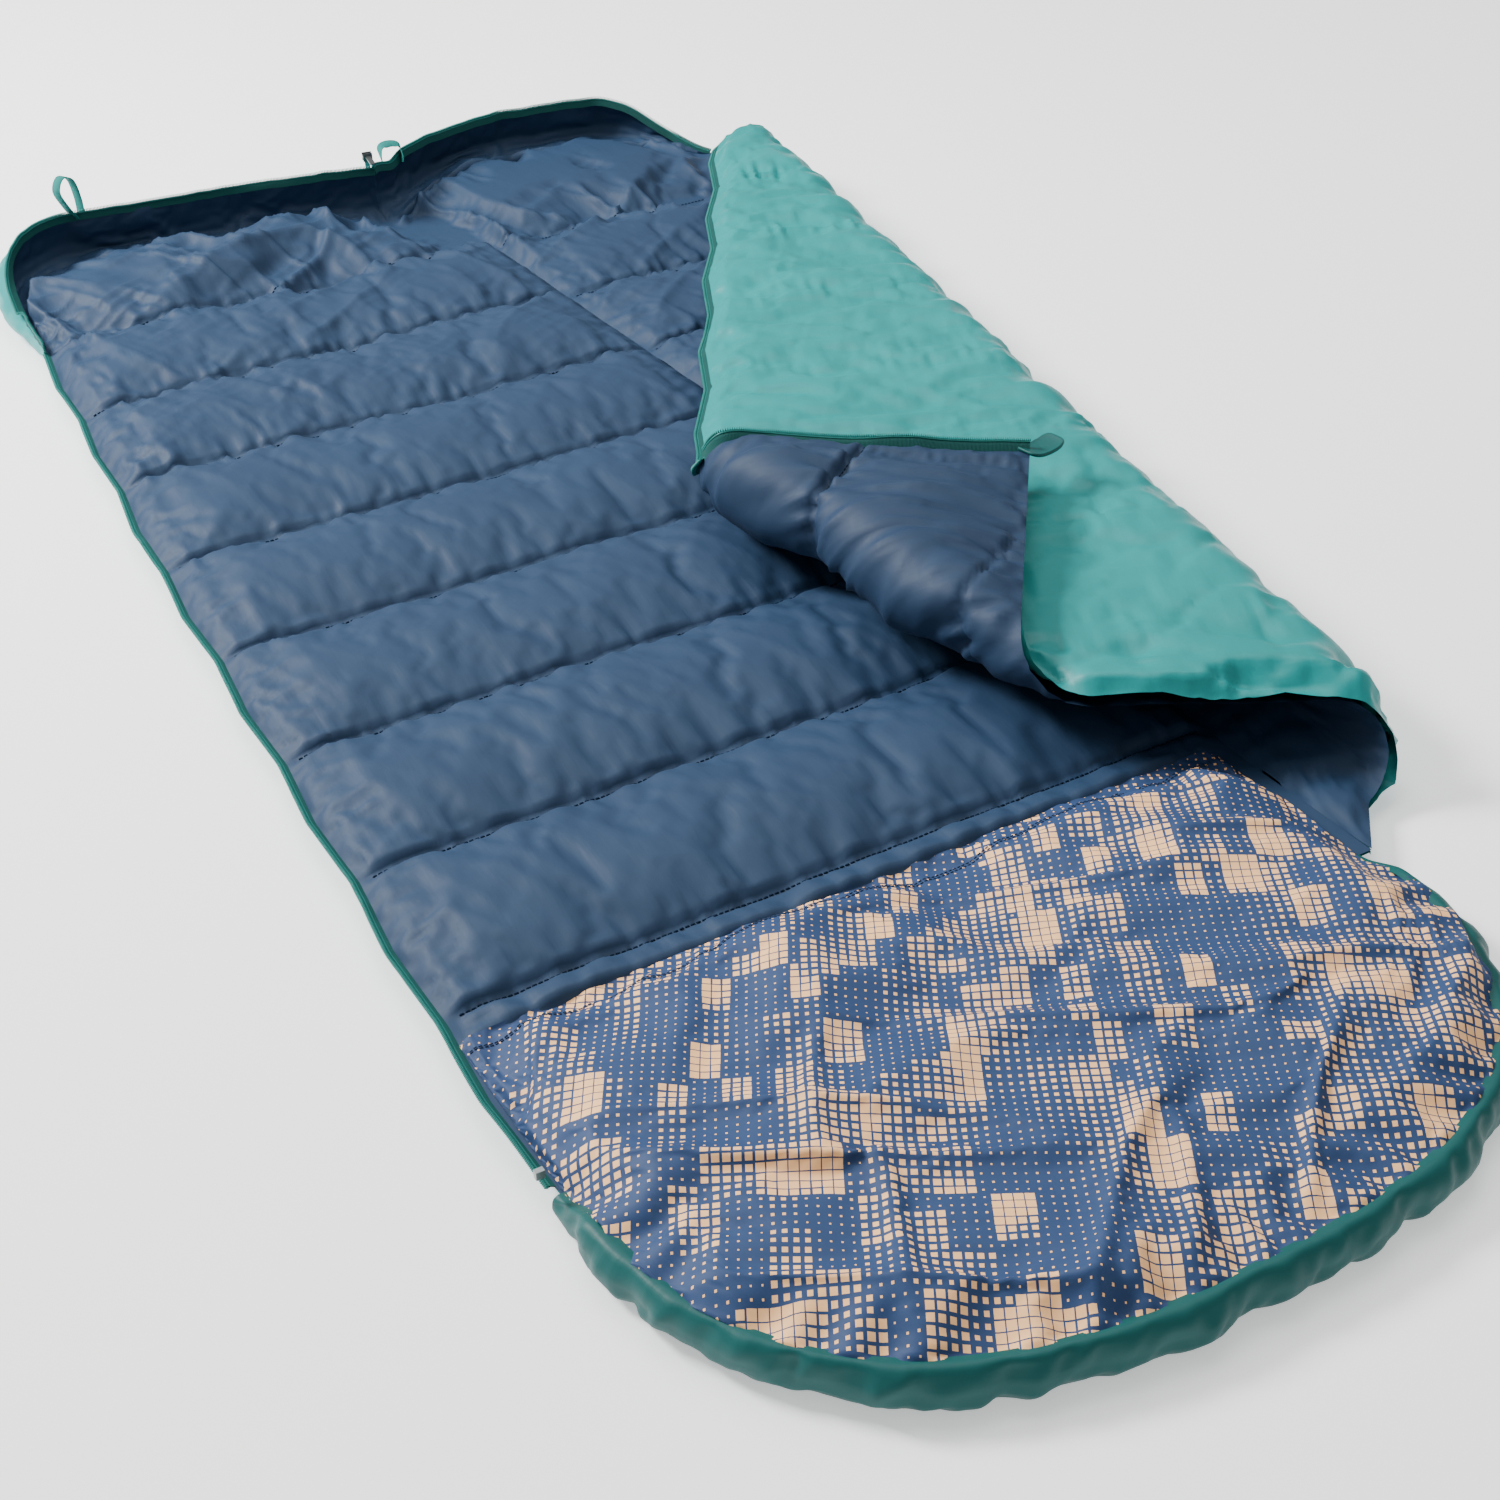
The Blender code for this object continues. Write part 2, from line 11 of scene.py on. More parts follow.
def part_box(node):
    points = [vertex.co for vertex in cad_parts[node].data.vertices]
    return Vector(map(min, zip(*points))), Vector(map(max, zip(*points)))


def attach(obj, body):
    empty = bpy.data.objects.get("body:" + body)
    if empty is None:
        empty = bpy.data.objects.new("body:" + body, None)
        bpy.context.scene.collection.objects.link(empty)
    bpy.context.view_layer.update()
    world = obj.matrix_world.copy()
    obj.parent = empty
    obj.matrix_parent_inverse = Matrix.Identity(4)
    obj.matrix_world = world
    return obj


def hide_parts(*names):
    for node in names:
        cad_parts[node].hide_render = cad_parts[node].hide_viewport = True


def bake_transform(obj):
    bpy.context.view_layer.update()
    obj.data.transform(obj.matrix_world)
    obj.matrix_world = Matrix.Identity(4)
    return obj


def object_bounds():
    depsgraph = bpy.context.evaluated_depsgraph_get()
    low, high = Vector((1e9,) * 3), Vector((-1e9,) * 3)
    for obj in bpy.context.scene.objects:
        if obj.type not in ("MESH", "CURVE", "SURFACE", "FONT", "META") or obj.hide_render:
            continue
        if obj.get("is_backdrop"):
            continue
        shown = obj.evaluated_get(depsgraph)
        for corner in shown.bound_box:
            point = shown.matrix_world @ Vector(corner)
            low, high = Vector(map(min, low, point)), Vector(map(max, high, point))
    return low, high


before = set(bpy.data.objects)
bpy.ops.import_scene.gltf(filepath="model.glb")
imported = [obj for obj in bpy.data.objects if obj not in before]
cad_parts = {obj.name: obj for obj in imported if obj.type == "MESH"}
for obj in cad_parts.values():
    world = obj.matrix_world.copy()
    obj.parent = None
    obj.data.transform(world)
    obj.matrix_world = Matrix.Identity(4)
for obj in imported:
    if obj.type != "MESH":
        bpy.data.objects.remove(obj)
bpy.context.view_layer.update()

# Plan of the quilt, in pitches of one baffle: +Y to the foot, +X to the side seam
P = 0.170
NECK_HALF, FOOT_HALF, SIDE_END = 1.90, 1.62, -1.06
HOOD_DEPTH, HOOD_POWER = 1.62, 2.6
FOOT_LEFT, FOOT_MIDDLE = np.array([-0.85, 8.16]), np.array([1.20, 7.80])
FOLD_FOOT, FOLD_NECK = np.array([3.70, 7.70]), np.array([2.12, -0.80])
TURN_SIDE, TURN_NECK = np.array([0.96, 2.98]), np.array([1.25, 0.05])
FREE_CORNER = np.array([2.12, 1.70])
POCKET_MOUTH = -0.15
BUNCH_START = 4.0  # from here to the foot the cloth is bunched up more and more
LOOP_SPOT = (1.42, 8.02)  # the right hang loop is sewn in here

# Levels, in metres
SEAM = 0.021  # lining at a quilting seam
EDGE = 0.016  # where shell and lining meet
WALL_TOP = 0.075  # top of the foot where shell and lining meet
LOOP_DIP = 0.10  # the cover's wall sags where its hang loop is sewn in
ROLL = 0.045  # radius of the shell round the main fold
ROLL_IN = 0.006  # radius of the shell inside the corner fold
AXIS_2 = 2 * ROLL + ROLL_IN  # height of the corner fold's middle
TURN = 0.022  # cloth the corner fold takes up, as a radius
STIFF_WIDTH = 0.038  # the lining puffs less this close to its side edges
FARTHEST = 0.028  # how far the simulation may move a point
ROOM_TOP, ROOM_SOFT = 0.046, 0.006  # the filled lining's highest level, and how softly it is reached
FOLD_NEAR, FOLD_TOP = 0.03, 0.036  # this close to the main fold, the lining stays below this level
TAPE_OUT = 0.0050  # width of zip tape that shows
TOOTH_PITCH = 0.0016
PRINT_CELL = 0.0064  # one square of the print
PRINT_TURN = 29.0  # degrees between the print and the quilt


# Numbers


def rng(seed):
    return np.random.default_rng(seed)


def noise(x, y, scale, seed):
    """Smooth noise between -1 and 1, on a lattice of the given spacing."""
    n = 64
    table = rng(seed).uniform(-1, 1, (n, n))
    gx, gy = np.asarray(x) / scale + 17.3, np.asarray(y) / scale + 31.7
    ix, iy = np.floor(gx).astype(int), np.floor(gy).astype(int)
    fx, fy = gx - ix, gy - iy
    fx, fy = fx * fx * (3 - 2 * fx), fy * fy * (3 - 2 * fy)
    a = table[ix % n, iy % n]
    b = table[(ix + 1) % n, iy % n]
    c = table[ix % n, (iy + 1) % n]
    d = table[(ix + 1) % n, (iy + 1) % n]
    return (a * (1 - fx) + b * fx) * (1 - fy) + (c * (1 - fx) + d * fx) * fy


def ridged(x, y, scale, seed):
    """Creases: sharp crests between smooth hollows, 0 to 1."""
    return (1 - np.abs(noise(x, y, scale, seed))) ** 3


def smooth(t):
    t = np.clip(t, 0, 1)
    return t * t * (3 - 2 * t)


def unit(v):
    return v / np.linalg.norm(v)


def reflect(p, a, b):
    d = unit(b - a)
    r = np.asarray(p) - a
    along = r @ d
    return a + 2 * np.multiply.outer(along, d) - r


def run_of(path):
    """The distance along a path at each of its points."""
    return np.concatenate([[0], np.cumsum(np.linalg.norm(np.diff(path, axis=0), axis=1))])


def resample(points, count):
    """Points evenly spaced along a polyline."""
    points = np.asarray(points, float)
    length = run_of(points)
    at = np.linspace(0, length[-1], count)
    return np.stack([np.interp(at, length, points[:, k]) for k in range(points.shape[1])], 1)


def bezier(a, b, c, count=9):
    t = np.linspace(0, 1, count)[:, None]
    return (1 - t) ** 2 * np.asarray(a) + 2 * t * (1 - t) * np.asarray(b) + t * t * np.asarray(c)


# Meshes


def grid_faces(rows, cols, flip=False):
    at = np.arange(rows * cols).reshape(rows, cols)
    quads = np.stack([at[:-1, :-1], at[:-1, 1:], at[1:, 1:], at[1:, :-1]], -1).reshape(-1, 4)
    return quads[:, ::-1] if flip else quads


def build(name, verts, faces, uv=None, look=None):
    """A smooth mesh object from arrays; uv is one pair for each vertex, in metres."""
    mesh = bpy.data.meshes.new(name)
    mesh.from_pydata(np.asarray(verts).tolist(), [], np.asarray(faces).tolist())
    if uv is not None:
        layer = mesh.uv_layers.new(name="UVMap")
        corners = np.zeros(len(mesh.loops), np.int32)
        mesh.loops.foreach_get("vertex_index", corners)
        layer.data.foreach_set("uv", np.asarray(uv, np.float32)[corners].ravel())
    mesh.polygons.foreach_set("use_smooth", np.ones(len(mesh.polygons), bool))
    obj = bpy.data.objects.new(name, mesh)
    bpy.context.scene.collection.objects.link(obj)
    if look:
        mesh.materials.append(look)
    mesh.update()
    return obj


def grid_object(name, points, uv, mat, flip=False):
    """A grid of points as one object."""
    points, uv = np.asarray(points), np.asarray(uv)
    return build(name, points.reshape(-1, 3), grid_faces(*points.shape[:2], flip), uv.reshape(-1, 2), mat)


def edge_pins(shape):
    """A grid's pins: 1 on its four edges, 0 inside."""
    pinned = np.zeros(shape)
    pinned[[0, -1]] = 1
    pinned[:, [0, -1]] = 1
    return pinned


def simulate(points, pinned, flip, excess, pressure, frames=14, bending=0.3):
    """The grid as cloth: pinned points hold, the rest is blown up and crumples a little."""
    rows, cols = points.shape[:2]
    obj = build("cloth_work", points.reshape(-1, 3), grid_faces(rows, cols, flip))
    group = obj.vertex_groups.new(name="pins")
    for i in np.flatnonzero(pinned.ravel() > 0):
        group.add([int(i)], float(pinned.ravel()[i]), "REPLACE")
    cloth = obj.modifiers.new("cloth", "CLOTH")
    settings = cloth.settings
    settings.quality = 4
    settings.mass = 0.12
    settings.tension_stiffness = 18
    settings.compression_stiffness = 12
    settings.shear_stiffness = 6
    settings.bending_stiffness = bending
    settings.vertex_group_mass = "pins"
    settings.shrink_min = -excess
    settings.use_pressure = True
    settings.uniform_pressure_force = pressure
    settings.effector_weights.gravity = 0
    settings.air_damping = 4
    cloth.collision_settings.use_collision = False
    scene = bpy.context.scene
    for number in range(1, frames + 1):
        scene.frame_set(number)
    evaluated = obj.evaluated_get(bpy.context.evaluated_depsgraph_get())
    found = np.zeros(rows * cols * 3, np.float32)
    evaluated.data.vertices.foreach_get("co", found)
    scene.frame_set(1)
    mesh = obj.data
    bpy.data.objects.remove(obj)
    bpy.data.meshes.remove(mesh)
    moved = found.reshape(rows, cols, 3).astype(float) - points
    far = np.linalg.norm(moved, axis=-1, keepdims=True)
    return points + moved * np.minimum(1, FARTHEST / np.maximum(far, 1e-9))


def finer(points, uv):
    """The grid with a point between each two, on a smooth curve through them."""

    def between(a):
        first = 2 * a[:1] - a[1:2]
        last = 2 * a[-1:] - a[-2:-1]
        padded = np.concatenate([first, a, last])
        mid = (9 * (padded[1:-2] + padded[2:-1]) - padded[:-3] - padded[3:]) / 16
        out = np.empty((2 * len(a) - 1, *a.shape[1:]))
        out[0::2] = a
        out[1::2] = mid
        return out

    def both(a):
        return between(between(a).transpose(1, 0, 2)).transpose(1, 0, 2)

    return both(points), both(uv)


# Cloth grids. A point is (x, y, h): its place on the flat cloth and its height over the shell


def side_x(y):
    return float(np.interp(y, [SIDE_END, 0, 7], [NECK_HALF, NECK_HALF, FOOT_HALF]))


def left_x(y):
    """The base's zip edge: drawn in by the filling, and most where a seam meets it."""
    drawn = float(np.interp(y, [SIDE_END, 0, 4, 7], [0.03, 0.05, 0.09, 0.20]))
    return -side_x(y) + drawn + 0.028 * (0.5 + 0.5 * math.cos(2 * math.pi * y))


def rows_between(curves, cells):
    """Rows of points from curve to curve, and the row number of each curve."""
    rows, marks = [], [0]
    for a, b, n in zip(curves, curves[1:], cells):
        rows += [a + (b - a) * (i / n) for i in range(n)]
        marks.append(len(rows))
    rows.append(curves[-1])
    return np.array(rows) * P, marks


def base_domain():
    """The base from the hood to the foot, its last row round the corner and along the crease."""
    cols = 84
    places = [SIDE_END, -0.5, 0, *np.arange(0.25, 7.01, 0.25)]
    curves = [resample([(left_x(y), y), (side_x(y), y)], cols) for y in places]
    corner = bezier((left_x(7), 7.04), (-1.40, 8.02), FOOT_LEFT, 12)
    curves.append(resample(np.concatenate([corner, [(0.2, 8.02), FOOT_MIDDLE]]), cols))
    flat, marks = rows_between(curves, [12, 11] + [6] * 28 + [24])
    return flat, [marks[0]] + marks[2::4] + [marks[-1]]


def unfold(p, ease=1.0):
    """Where a point of the folded-back part lies when the cover is opened flat, in pitches."""
    d = unit(FOLD_FOOT - FOLD_NECK)
    out = np.array([d[1], -d[0]])
    return reflect(p, FOLD_NECK, FOLD_FOOT) + np.multiply.outer(ease, out) * (math.pi * ROLL / P)


def cover_domain():
    """The cover opened flat, from the neck hem to the crease of its foot."""
    cols = 98
    d2 = unit(TURN_SIDE - TURN_NECK)
    left = np.array([-d2[1], d2[0]])
    corner = reflect(FREE_CORNER, TURN_NECK, TURN_SIDE) + left * math.pi * TURN / P
    corner = unfold(corner)
    t = np.linspace(0, 1, 60)
    edge = unfold(FOLD_FOOT + np.multiply.outer(t, TURN_SIDE - FOLD_FOOT), smooth(t / 0.14))
    zip_edge = np.concatenate([edge, [corner]])[::-1]
    neck = [(NECK_HALF, SIDE_END), FOLD_NECK, unfold(TURN_NECK), corner]
    curves = [resample(neck, cols)]
    for y in np.arange(1, 7.01, 0.25):
        x = float(np.interp(y, zip_edge[:, 1], zip_edge[:, 0]))
        x -= 0.045 * (0.5 + 0.5 * math.cos(2 * math.pi * y)) * (y < 7)
        curves.append(resample([(side_x(y), y), (x, y)], cols))
    crease = [FOOT_MIDDLE, (1.32, 7.90), (1.78, 8.18), (2.35, 8.32), (3.00, 8.22), (3.45, 7.97)]
    end = [p for p in zip_edge[::-1] if p[1] > 7.12]
    curves.append(resample(np.concatenate([crease, end]), cols))
    flat, marks = rows_between(curves, [32] + [6] * 24 + [22])
    return flat, [marks[0]] + marks[1:-1:4] + [marks[-1]]


def outwards(curve):
    """Directions to the left of a curve, in the plane."""
    step = np.gradient(curve, axis=0)
    step /= np.linalg.norm(step, axis=1, keepdims=True)
    return np.stack([-step[:, 1], step[:, 0]], 1)


def with_wall(flat, level, profile, share, seam_end, rows=14):
    """Flat rows at a level, then the foot's wall standing on the last of them.
    Both walls lean the same way at the side seam, so that they meet there."""
    out = outwards(flat[-1])
    out[seam_end] = unit(np.array([-0.14, 1.0]))
    for _ in range(8):
        out[1:-1] = (out[:-2] + out[1:-1] + out[2:]) / 3
    top = EDGE + (WALL_TOP - EDGE) * share
    first = np.concatenate([flat, level[..., None]], 2)
    uv = [*flat]
    wall = []
    shape = resample(profile, rows + 1)
    span = np.linalg.norm(np.diff(shape, axis=0), axis=1)
    for (ahead, up), run in zip(shape[1:], span):
        spot = flat[-1] + out * (ahead * share)[:, None]
        rise = (up - profile[0][1]) / (profile[-1][1] - profile[0][1])
        height = level[-1] + (top - level[-1]) * rise
        wall.append(np.concatenate([spot, height[:, None]], 1))
        uv.append(uv[-1] + out * (run * share + 0.0002)[:, None])
    return np.concatenate([first, wall]), np.array(uv)


def fold_map(g):
    """Folds the flat cover: over the main fold, then its corner over the corner fold."""
    g = np.asarray(g, float)
    h = g[..., 2]
    a, d = FOLD_NECK * P, unit(FOLD_FOOT - FOLD_NECK)
    n = np.array([d[1], -d[0]])
    s = (g[..., :2] - a) @ n
    near = smooth((s + FOLD_NEAR) / FOLD_NEAR) * smooth((math.pi * ROLL + FOLD_NEAR - s) / FOLD_NEAR)
    h = h + (np.minimum(h, FOLD_TOP) - h) * near
    angle = np.clip(s / ROLL, 0, math.pi)
    radius = ROLL - h
    past = np.maximum(s - math.pi * ROLL, 0)
    off = np.where(s <= 0, s, radius * np.sin(angle)) - past
    z = np.where(s <= 0, h, ROLL - radius * np.cos(angle))
    q = a + np.multiply.outer((g[..., :2] - a) @ d, d) + np.multiply.outer(off, n)
    a2, d2 = TURN_NECK * P, unit(TURN_SIDE - TURN_NECK)
    n2 = np.array([-d2[1], d2[0]])
    s2 = np.where(past > 0, (q - a2) @ n2, -1)
    angle = np.clip(s2 / TURN, 0, math.pi)
    radius = ROLL_IN + h
    off = radius * np.sin(angle) - np.maximum(s2 - math.pi * TURN, 0)
    turned = a2 + np.multiply.outer((q - a2) @ d2, d2) + np.multiply.outer(off, n2)
    q = np.where((s2 > 0)[..., None], turned, q)
    z = np.where(s2 > 0, AXIS_2 - radius * np.cos(angle), z)
    return np.concatenate([q, z[..., None]], -1)


def spread(shape, marks, power=0.42):
    """How far each row lies from the seams: 0 on one, 1 midway."""
    swell = np.zeros(shape[0])
    for a, b in zip(marks, marks[1:]):
        t = np.linspace(0, 1, b - a + 1)
        swell[a : b + 1] = np.sin(np.pi * t) ** power
    return np.repeat(swell[:, None], shape[1], 1)


def rim(flat):
    """How far each point is from the grid's side edges, in metres."""
    left = np.linalg.norm(flat[..., :2] - flat[:, :1, :2], axis=-1)
    right = np.linalg.norm(flat[..., :2] - flat[:, -1:, :2], axis=-1)
    return left, right


def quilt_layer(flat, marks, wall, up, seed):
    """One face of a quilted panel after filling: points (x, y, h) and their cloth places.
    up is 1 for the lining and -1 for the shell, which bulges down."""
    level_seam, level_edge, puff = (SEAM, EDGE, 0.0115) if up > 0 else (0.0095, EDGE - 0.001, 0.0)
    profile, share, seam_end = wall
    left, right = rim(flat)
    near = np.minimum(left, right)
    rows_in = np.linalg.norm(flat - flat[:1], axis=-1)
    near = np.minimum(near, rows_in)
    level = level_edge + (level_seam - level_edge) * smooth(near / 0.020)
    level = level + 0.0012 * noise(flat[..., 0], flat[..., 1], 0.05, seed)
    points, uv = with_wall(flat, level, profile, share, seam_end)
    pinned = edge_pins(points.shape[:2])
    if up > 0:
        by_the_side = np.minimum(*rim(uv)) < STIFF_WIDTH
        pinned[by_the_side] = np.maximum(pinned[by_the_side], 0.30)
    for row in marks:
        pinned[row] = 1 if up > 0 else 0.03
    flats = len(flat)
    full = np.zeros(points.shape[:2])
    full[:flats] = spread(flat.shape, marks)
    grown = np.clip(np.minimum(*rim(uv)) / 0.045, 0, 1) ** 0.5
    points[..., 2] += up * puff * full * grown
    points[..., 2] += 0.0012 * noise(uv[..., 0], uv[..., 1], 0.018, seed + 2) * (1 - pinned)
    extra, force = (0.013, 3.2) if up > 0 else (0.014, 0.8)
    points = simulate(points, pinned, up < 0, extra, force)
    # The filled cloth never goes past the room that it has in the fold
    h = points[..., 2]
    if up > 0:
        ceiling = np.full(h.shape, ROOM_TOP)
        ceiling[flats:] = 1
        over = h - ceiling + ROOM_SOFT
        points[..., 2] = np.where(over > 0, ceiling - ROOM_SOFT * np.exp(-over / ROOM_SOFT), h)
        points[:flats, :, 2] = np.maximum(points[:flats, :, 2], level_edge - 0.0002)
    else:
        roof = level_edge - 0.0030 * smooth(near / 0.008)
        points[:flats, :, 2] = np.minimum(points[:flats, :, 2], roof)
        points[..., 2] = np.maximum(points[..., 2], 0.0006)
    return points, uv, flats


def bunching(uv, flats, side, foot_starts):
    """Which rows of a finer grid lie flat, and how much the cloth is bunched up at each point."""
    level_rows = np.arange(uv.shape[0])[:, None] < 2 * flats - 1
    y = uv[..., 1] / P
    bunched = 0.30 * smooth((y - BUNCH_START) / 1.6) + 0.70 * smooth((y - foot_starts) / 0.9)
    return level_rows, bunched * smooth(side / 0.02) * (0.08 + 0.92 * level_rows)


def crumple(points, uv, seed, up, strip, strength=1.0, bunched=0.0):
    """Small wrinkles on the finished cloth: slanting pulls, puckers along the seams, a crinkled
    strip along the zip, and deep folds where the foot is bunched up."""
    x, y = uv[..., 0], uv[..., 1]
    seam = np.abs(y / P - np.round(y / P)) * P
    seam = np.where((y < 7.3 * P) & (y > -0.2 * P), seam, 1.0)
    slant = ridged(x + 0.55 * y, 0.18 * y - 0.1 * x, 0.032, seed)
    pulls = ridged(x + 0.28 * y, 0.10 * y, 0.017, seed + 1)
    inside = smooth(np.minimum(*rim(uv)) / 0.022)
    broad = noise(x, y, 0.09, seed + 2)
    if up < 0:
        pulls = pulls * 0.5
        wander = 5.0 * noise(x, y, 0.16, seed + 9)
        swing = np.sin(2 * math.pi * (y - 0.30 * x) / 0.062 + wander)
        swing = swing + 0.5 * np.sin(2 * math.pi * (y + 0.2 * x) / 0.041 + 2 * wander)
        folded = 3.2 * ridged(0.3 * x, y - 0.4 * x, 0.035, seed)
        slant = 2.7 * swing * (0.5 + 0.5 * noise(x, y, 0.11, seed + 10)) + folded
    amount = (0.0009 * slant + 0.0014 * pulls) * (0.6 + 0.5 * broad) * strength
    crinkle = ridged(0.5 * x + 0.2 * y, y, 0.006, seed + 3) + 0.7 * ridged(x, y, 0.009, seed + 4)
    amount = amount + 0.0006 * crinkle * strip
    pucker = noise(x, 0.12 * y, 0.007, seed + 5) + 0.6 * noise(x + 0.3 * y, 0.2 * y, 0.015, seed + 6)
    amount = amount - 0.0030 * np.exp(-((seam / 0.0035) ** 2)) * (inside if up > 0 else 0)
    footward = 1 + 0.9 * smooth((y / P - 3) / 3)
    by_seam = np.exp(-seam / 0.018) * smooth(seam / 0.003)
    amount = amount + 0.0024 * footward * pucker * by_seam * strength * inside
    deep = ridged(x + 0.25 * y, 0.35 * y - 0.1 * x, 0.045, seed + 7)
    deep = deep + ridged(0.7 * x - y, 0.4 * x, 0.07, seed + 8)
    fine = ridged(x + 0.5 * y, 0.22 * y - 0.11 * x, 0.024, seed + 11)
    fine = fine + 0.7 * ridged(0.3 * x + 0.15 * y, y - 0.5 * x, 0.019, seed + 12)
    amount = amount + (0.0135 * (deep - 0.35) + 0.0048 * (fine - 0.3)) * bunched
    points = points.copy()
    points[..., 2] += up * amount
    return points


# Materials


def look(name, colour, rough=0.6, metal=0.0, specular=0.25):
    mat = bpy.data.materials.new(name)
    mat.use_nodes = True
    shader = mat.node_tree.nodes["Principled BSDF"]
    shader.inputs["Base Color"].default_value = (*colour, 1)
    shader.inputs["Roughness"].default_value = rough
    shader.inputs["Metallic"].default_value = metal
    shader.inputs["Specular IOR Level"].default_value = specular
    return mat, mat.node_tree, shader


def node(tree, kind, **values):
    made = tree.nodes.new("ShaderNode" + kind)
    for key, value in values.items():
        if key in made.inputs:
            made.inputs[key].default_value = value
        else:
            setattr(made, key, value)
    return made


def link(tree, a, b):
    tree.links.new(a, b)


def maths(tree, operation, a, b=0.0):
    made = node(tree, "Math", operation=operation)
    for place, value in zip(made.inputs, (a, b)):
        if isinstance(value, (int, float)):
            place.default_value = value
        else:
            link(tree, value, place)
    return made.outputs[0]


def parts_of(tree, vector):
    """The X and the Y of a vector."""
    made = node(tree, "SeparateXYZ")
    link(tree, vector, made.inputs[0])
    return made.outputs[0], made.outputs[1]


def clouds(tree, vector, **values):
    made = node(tree, "TexNoise", **values)
    link(tree, vector, made.inputs["Vector"])
    return made.outputs[0]


def blend_colour(tree, factor, low, high):
    made = node(tree, "Mix", data_type="RGBA")
    for place, value in ((made.inputs[0], factor), (made.inputs[6], low), (made.inputs[7], high)):
        if isinstance(value, tuple):
            place.default_value = (*value, 1)
        elif isinstance(value, float):
            place.default_value = value
        else:
            link(tree, value, place)
    return made.outputs[2]


def weave(tree, shader, pitch=0.0009, strength=0.45, wrinkles=0.0006):
    """A fine plain weave and small creases, as a bump on the cloth's own coordinates."""
    uv = node(tree, "UVMap", uv_map="UVMap").outputs[0]
    scaled = node(tree, "Mapping")
    scaled.inputs["Scale"].default_value = (1 / pitch, 1 / pitch, 1)
    link(tree, uv, scaled.inputs[0])
    across, along = parts_of(tree, scaled.outputs[0])
    warp = maths(tree, "SINE", maths(tree, "MULTIPLY", across, 2 * math.pi))
    weft = maths(tree, "SINE", maths(tree, "MULTIPLY", along, 2 * math.pi))
    threads = maths(tree, "MULTIPLY", maths(tree, "MULTIPLY", warp, weft), 0.00004)
    drawn = node(tree, "Mapping")
    drawn.inputs["Rotation"].default_value = (0, 0, math.radians(24))
    drawn.inputs["Scale"].default_value = (1.0, 0.22, 1)
    link(tree, uv, drawn.inputs[0])
    crease = clouds(tree, drawn.outputs[0], Scale=85.0, Detail=4.0, Roughness=0.5, Distortion=0.35)
    height = maths(tree, "ADD", threads, maths(tree, "MULTIPLY", crease, wrinkles))
    bump = node(tree, "Bump", Strength=strength, Distance=1.0)
    link(tree, height, bump.inputs["Height"])
    link(tree, bump.outputs[0], shader.inputs["Normal"])
    return uv


def satin(name, low, high, rough, wrinkles=0.0006):
    """Thin woven cloth whose colour drifts a little from place to place."""
    mat, tree, shader = look(name, low, rough)
    uv = weave(tree, shader, wrinkles=wrinkles)
    patchy = clouds(tree, uv, Scale=9.0, Detail=3.0)
    fine = clouds(tree, uv, Scale=420.0, Detail=2.0)
    mixed = maths(tree, "ADD", maths(tree, "MULTIPLY", patchy, 0.75), maths(tree, "MULTIPLY", fine, 0.25))
    link(tree, blend_colour(tree, mixed, low, high), shader.inputs["Base Color"])
    gloss = maths(tree, "ADD", maths(tree, "MULTIPLY", fine, 0.14), rough - 0.07)
    link(tree, gloss, shader.inputs["Roughness"])
    return mat


